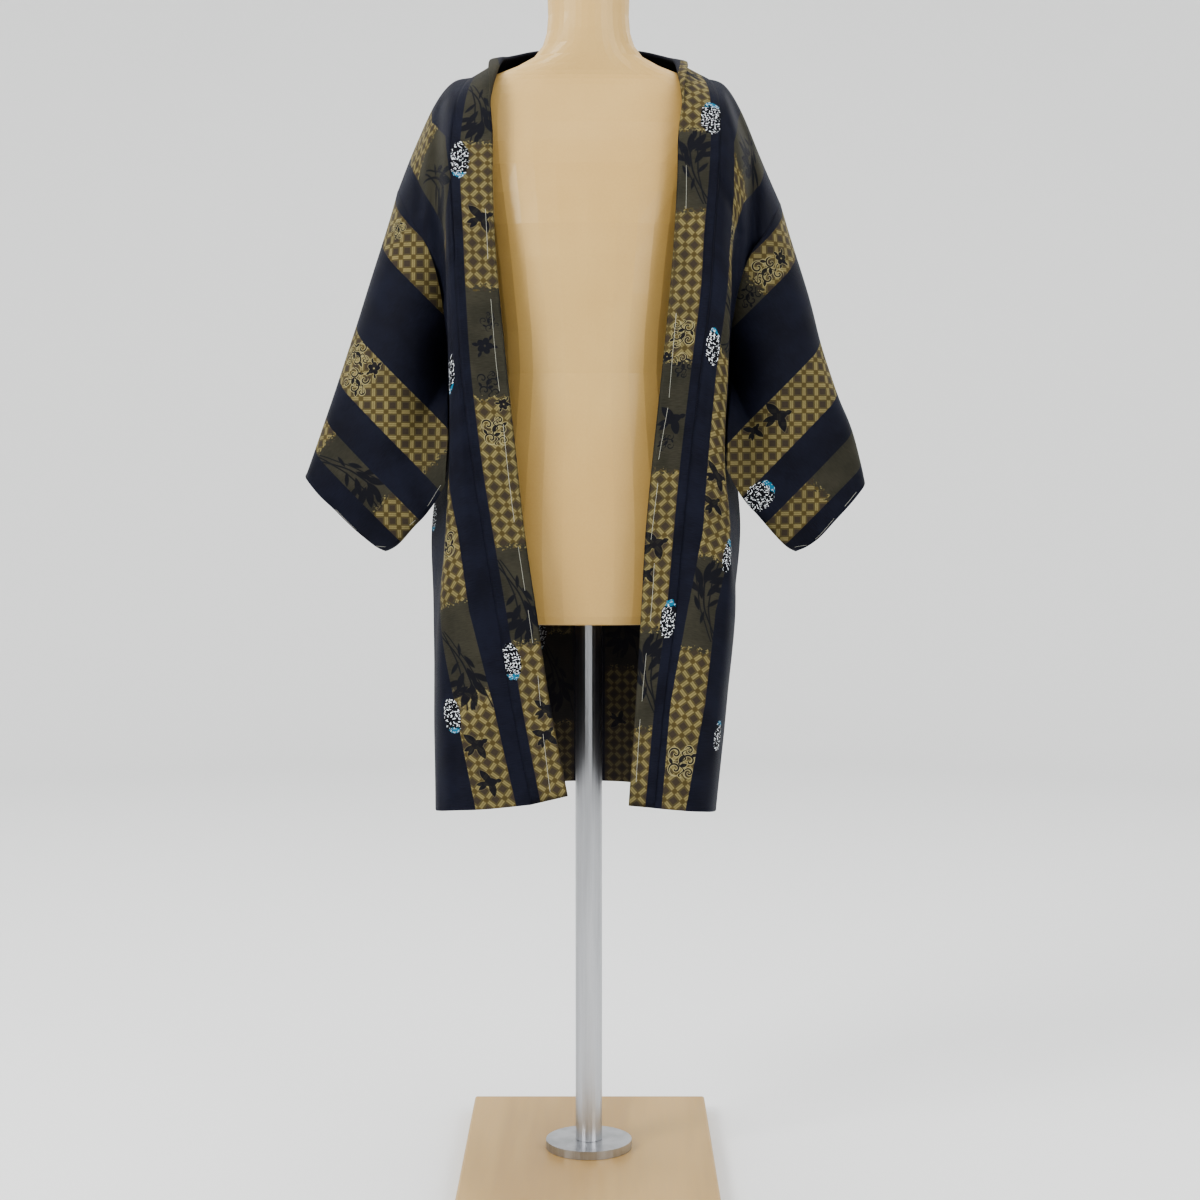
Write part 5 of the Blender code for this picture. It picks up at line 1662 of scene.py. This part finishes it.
nape_row = int(np.argmin(np.abs(panel_shares - SHARE["nape"])))
centre_line = to_world(RIGHT, panel_grids[RIGHT][nape_row:, 0][::2]) * [0, 1, 1]
collar_seam = seam_piece("seam_collar", collar_grid[::2, 0] * CM)
centre_seam = seam_piece("seam_centre_back", centre_line)
wedge_seams, armhole_seams = {}, {}
for side in (RIGHT, LEFT):
    share = np.linspace(0, 1, WEDGE_SEAM_POINTS)
    wedge_seams[side] = seam_piece(
        "seam_wedge_" + SIDE_NAMES[side],
        to_world(side, side_edge(side, SHARE["front ribs"] * share)),
        to_world(side, side_edge(side, 1 + (SHARE["middle back"] - 1) * share)))
    run = np.linspace(SHARE["front ribs"], SHARE["middle back"], ARMHOLE_SEAM_POINTS)
    armhole_seams[side] = seam_piece(
        "seam_armhole_" + SIDE_NAMES[side],
        to_world(side, side_edge(side, run) + np.array([ARMHOLE_LIFT / 2, 0, 0])))

# %% [markdown]
# ## Basting stitches
#
# A new kimono or haori comes with long white tacking stitches that hold the collar's fold and the
# sleeve's edges flat until it is worn. Each stitch comes up through the cloth, lies on it for some
# centimetres and goes down again. So each is a short tube that follows the cloth's own surface,
# just above it, with both ends sunk in.

# %% Basting along the collar and the sleeve edges
BASTING_RADIUS = 0.021               # cm
LIFTED, HALF_LIFTED = 0.8, 0.3       # how high the thread's middle lies on the cloth, in radii
STITCH_START = [0, 0.03]             # shares of a stitch at which it comes out of the cloth
STITCH_LIES = (0.07, 0.93)           # shares between which it lies on the cloth
COLLAR_STITCH_POINTS, SLEEVE_STITCH_POINTS = 12, 9     # between its two ends
# (a, v) in cm of cloth, where each stitch comes up and where it goes down
COLLAR_BASTING = [
    ((3.8, 67.8), (3.8, 61.7)), ((3.9, 57.6), (4.1, 46.6)), ((4.1, 43.4), (3.7, 31.7)),
    ((3.7, 29.3), (3.6, 24.0)), ((3.6, 22.0), (3.5, 18.0)), ((3.5, 14.4), (3.2, 10.8)),
    ((2.9, 7.8), (2.4, 0.8)), ((3.8, 136.7), (3.4, 142.3)), ((3.6, 153.8), (3.2, 163.9)),
    ((3.2, 164.6), (3.6, 170.8)), ((3.4, 173.1), (3.6, 179.9)), ((3.0, 182.2), (2.8, 189.2)),
    ((2.8, 192.5), (2.6, 198.3)), ((2.6, 200.0), (2.4, 207.6)),
]
# (ring, column) of the sleeve's grid, just inside its cuff and its lower edge
SLEEVE_BASTING = {
    RIGHT: [((70, 43), (70, 57)), ((70, 70), (64, 75)), ((39, 76), (33, 77)), ((24, 79), (13, 82))],
    LEFT: [((70, 34), (70, 22)), ((70, 58), (70, 42)), ((64, 75), (70, 65))],
}


def stitch_shares(count):
    """Shares along a stitch: close together where it comes up and goes down, even between them."""
    start = np.array(STITCH_START)
    return np.concatenate([start, np.linspace(*STITCH_LIES, count), 1 - start[::-1]])


def grid_place(grid, row, column):
    """A place between the points of a grid, by its fractional row and column."""
    i, j = min(int(row), grid.shape[0] - 2), min(int(column), grid.shape[1] - 2)
    u, w = row - i, column - j
    return ((1 - u) * (1 - w) * grid[i, j] + u * (1 - w) * grid[i + 1, j]
            + (1 - u) * w * grid[i, j + 1] + u * w * grid[i + 1, j + 1])


def stitch(grid, normals, places, half_cloth):
    """One stitch's path in metres over a grid in world cm, sunk into the cloth at both ends."""
    path = np.array([grid_place(grid, *place) for place in places])
    up = np.array([grid_place(normals, *place) for place in places])
    up /= np.linalg.norm(up, axis=1, keepdims=True)
    lift = np.full(len(path), half_cloth + BASTING_RADIUS * LIFTED)
    lift[0] = lift[-1] = 0.0
    lift[1] = lift[-2] = half_cloth + BASTING_RADIUS * HALF_LIFTED
    return (path + up * lift[:, None]) * CM, up


def sleeve_basting(side):
    grid = to_world(side, sleeve_grids[side]) / CM
    normals = normals_of(grid)
    middle = grid.mean(axis=(0, 1))
    if ((grid - middle) * normals).sum() < 0:
        normals = -normals
    share = stitch_shares(SLEEVE_STITCH_POINTS)[:, None]
    runs = [stitch(grid, normals, np.array(start) * (1 - share) + np.array(end) * share, CLOTH / CM / 2)
            for start, end in SLEEVE_BASTING[side]]
    return thread_piece("basting_sleeve_" + SIDE_NAMES[side], runs, BASTING_RADIUS * CM)


def collar_basting():
    rows, columns = np.arange(len(collar_v)), np.arange(COLLAR_COLUMNS)
    normals = -normals_of(collar_grid)
    runs = []
    for (a_up, v_up), (a_down, v_down) in COLLAR_BASTING:
        places = []
        for share in stitch_shares(COLLAR_STITCH_POINTS):
            row = float(np.interp(v_up + (v_down - v_up) * share, collar_v[:, 0], rows))
            column = np.interp(a_up + (a_down - a_up) * share, collar_a[int(round(row))], columns)
            places.append((row, float(column)))
        runs.append(stitch(collar_grid, normals, places, COLLAR_FOLD))
    return thread_piece("basting_collar", runs, BASTING_RADIUS * CM)


basting = {"collar": collar_basting(), RIGHT: sleeve_basting(RIGHT), LEFT: sleeve_basting(LEFT)}
for piece in basting.values():
    piece.data.materials.append(white_cotton)

# %% [markdown]
# ## The stand
#
# The form, its pole and the base board have the right shapes already, so they keep their solids
# and only get finishes. The form has a smooth painted skin that is a little uneven, the pole is
# drawn metal with faint lines along it, and the board is pale lacquered wood with its grain
# running front to back. All three read object coordinates, which are metres here.

# %% Finishes of the form, the pole and the board
NOISE_DETAIL = 3.0
FINISH_EDGE = (0.35, 0.65)     # the noise, as a mask between the finish's two tones
FINE_SHADE, TONE_SHADE, FINE_ROUGHNESS, FINISH_BUMP = 0.45, 0.6, 0.12, 0.35


def object_noise(tree, scale, stretch):
    """Noise on object coordinates, scaled per metre and stretched along each axis."""
    place = tree.nodes.new("ShaderNodeTexCoord").outputs["Object"]
    return noise_texture(vector_calc("MULTIPLY", place, stretch), scale, NOISE_DETAIL)


def plain_finish(name, dark, light, roughness, tones, grain, bump_height):
    """A finish of two close colours, whose tones and grain are (scale, stretch) pairs of noise."""
    material, tree, shader = new_material(name)
    tone = step(object_noise(tree, *tones), *FINISH_EDGE)
    fine = object_noise(tree, *grain)
    shade = calc("MULTIPLY_ADD", fine, FINE_SHADE, times(tone, TONE_SHADE))
    fill(shader, Base_Color=blend(shade, dark, light))
    fill(shader, Roughness=calc("MULTIPLY_ADD", fine, FINE_ROUGHNESS, roughness))
    add_bump(shader, fine, FINISH_BUMP, bump_height)
    return material, shader


form_skin, form_shader = plain_finish(
    "cream form skin", dye(180, 146, 86), dye(194, 162, 102), 0.42,
    (6.0, (1, 1, 0.6)), (420.0, (1, 1, 1)), 0.0002)
fill(form_shader, Coat_Weight=0.10)
stand_metal, metal_shader = plain_finish(
    "drawn steel", dye(150, 151, 154), dye(190, 191, 194), 0.26,
    (30.0, (1, 1, 0.05)), (900.0, (1, 1, 0.02)), 0.00005)
fill(metal_shader, Metallic=1.0)
board_wood, board_shader = plain_finish(
    "pale lacquered wood", dye(152, 120, 68), dye(178, 146, 90), 0.40,
    (16.0, (1, 0.10, 1)), (260.0, (1, 0.05, 1)), 0.0001)
fill(board_shader, Coat_Weight=0.2, Coat_Roughness=0.2)
for name, finish in (("dress_form", form_skin), ("pole", stand_metal), ("pole_flange", stand_metal),
                     ("base_board", board_wood)):
    for material_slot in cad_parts[name].material_slots:
        material_slot.material = finish
    print(name, "has the finish", finish.name)

# %% [markdown]
# ## The camera
#
# The camera stands in front of the jacket, level with its hem, and looks down a little, so the
# board's edges run towards each other at the back. A long lens keeps the jacket from bulging. The
# view's look adds the contrast that keeps navy silk dark under soft light.

# %% Camera
CAMERA_PLACE = (0.0135, -2.55, 0.846)     # metres
CAMERA_LENS, SENSOR_WIDTH = 64.26, 36.0   # mm
FRAME_WIDTH = 1200                        # pixels
HORIZON_RISE = 136                        # pixels by which the horizon lies above the frame's middle
FOCAL_PIXELS = CAMERA_LENS / SENSOR_WIDTH * FRAME_WIDTH
camera_data = bpy.data.cameras.new("camera")
camera_data.sensor_width = SENSOR_WIDTH
camera_data.lens = CAMERA_LENS
camera_data.clip_end = 30.0
camera = bpy.data.objects.new("camera", camera_data)
camera.location = CAMERA_PLACE
CAMERA_DIP = math.atan(HORIZON_RISE / FOCAL_PIXELS)
camera.rotation_euler = (math.pi / 2 - CAMERA_DIP, 0.0, 0.0)
bpy.context.scene.collection.objects.link(camera)
bpy.context.scene.camera = camera
bpy.context.scene.view_settings.look = "AgX - Medium High Contrast"
print("the camera looks down by", round(math.degrees(CAMERA_DIP), 1), "degrees")

# %% [markdown]
# ## Floor, backdrop and light
#
# A pale paper floor curves up into a round backdrop, so that the stand looks the same from every
# side. Large soft lights stand where a studio would put them, hidden from the camera.

# %% Floor and backdrop
FLOOR_RADIUS, COVE_RADIUS, WALL_HEIGHT = 3.5, 1.0, 3.4      # metres
FLOOR_RINGS = [0.02, 1.2, FLOOR_RADIUS]                     # radii of the flat part's rings
STAGE_SIDES, COVE_STEPS = 96, 16
PAPER_WHITE = (0.78, 0.78, 0.77, 1.0)


def stage_sheet():
    """A round pale floor that curves up into a wall."""
    profile = [(radius, 0.0) for radius in FLOOR_RINGS]
    profile += [(FLOOR_RADIUS + COVE_RADIUS * math.sin(angle), COVE_RADIUS - COVE_RADIUS * math.cos(angle))
                for angle in np.linspace(0, math.pi / 2, COVE_STEPS + 1)[1:]]
    profile += [(FLOOR_RADIUS + COVE_RADIUS, WALL_HEIGHT)]
    turn = np.linspace(0, 2 * math.pi, STAGE_SIDES + 1)
    points = np.array([np.stack([radius * np.cos(turn), radius * np.sin(turn), np.full(len(turn), height)],
                                axis=1) for radius, height in profile])
    sheet = cloth_mesh("studio_paper", points, closed_across=True)
    only(sheet)
    bpy.ops.object.shade_smooth()
    return sheet


studio_paper = stage_sheet()
paper, _, paper_shader = new_material("studio paper")
fill(paper_shader, Base_Color=PAPER_WHITE, Roughness=0.9)
studio_paper.data.materials.append(paper)
print("backdrop", 2 * (FLOOR_RADIUS + COVE_RADIUS), "m across")

# %% Lights
WORLD_TINT, WORLD_STRENGTH = (0.90, 0.92, 0.95, 1.0), 0.8


def soft_light(name, place, target, size, power):
    """A square area light, size metres across, that shines from a place to a target."""
    data = bpy.data.lights.new(name, "AREA")
    data.shape = "RECTANGLE"
    data.size = data.size_y = size
    data.energy = power
    light = bpy.data.objects.new(name, data)
    light.location = place
    light.rotation_euler = (Vector(target) - Vector(place)).to_track_quat("-Z", "Y").to_euler()
    light.visible_camera = False
    bpy.context.scene.collection.objects.link(light)
    print(name, "light,", power, "W")


soft_light("key", (-2.6, -2.2, 2.6), (0, 0, 0.9), 1.4, 104)
soft_light("fill", (2.2, -2.4, 1.8), (0, 0, 0.9), 1.8, 46)
soft_light("overhead", (0, 0.3, 3.6), (0, 0, 0.8), 3.0, 60)
soft_light("back left", (-2.6, 2.2, 2.8), (0, 0, 0.9), 1.6, 24)
soft_light("back right", (2.6, 2.2, 2.8), (0, 0, 0.9), 1.6, 24)
world = bpy.data.worlds.new("studio")
bpy.context.scene.world = world
world.use_nodes = True
fill(world.node_tree.nodes["Background"], Color=WORLD_TINT, Strength=WORLD_STRENGTH)

# %% [markdown]
# ## Fixing each piece to the model
#
# Nothing on a jacket is a joint, so every piece rides on the one body.

# %% Fix the pieces
def ride_as(piece, node):
    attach(piece, "root")
    if node:
        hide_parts(node)


for side in (RIGHT, LEFT):
    name = SIDE_NAMES[side]
    ride_as(panels[side], "body_panel_" + name)
    ride_as(gussets[side], "gusset_" + name)
    ride_as(sleeves[side], "sleeve_" + name)
    for piece in (wedge_seams[side], armhole_seams[side], basting[side]):
        ride_as(piece, None)
ride_as(collar, "collar")
for piece in (collar_seam, basting["collar"]):
    ride_as(piece, None)
ride_as(centre_seam, None)
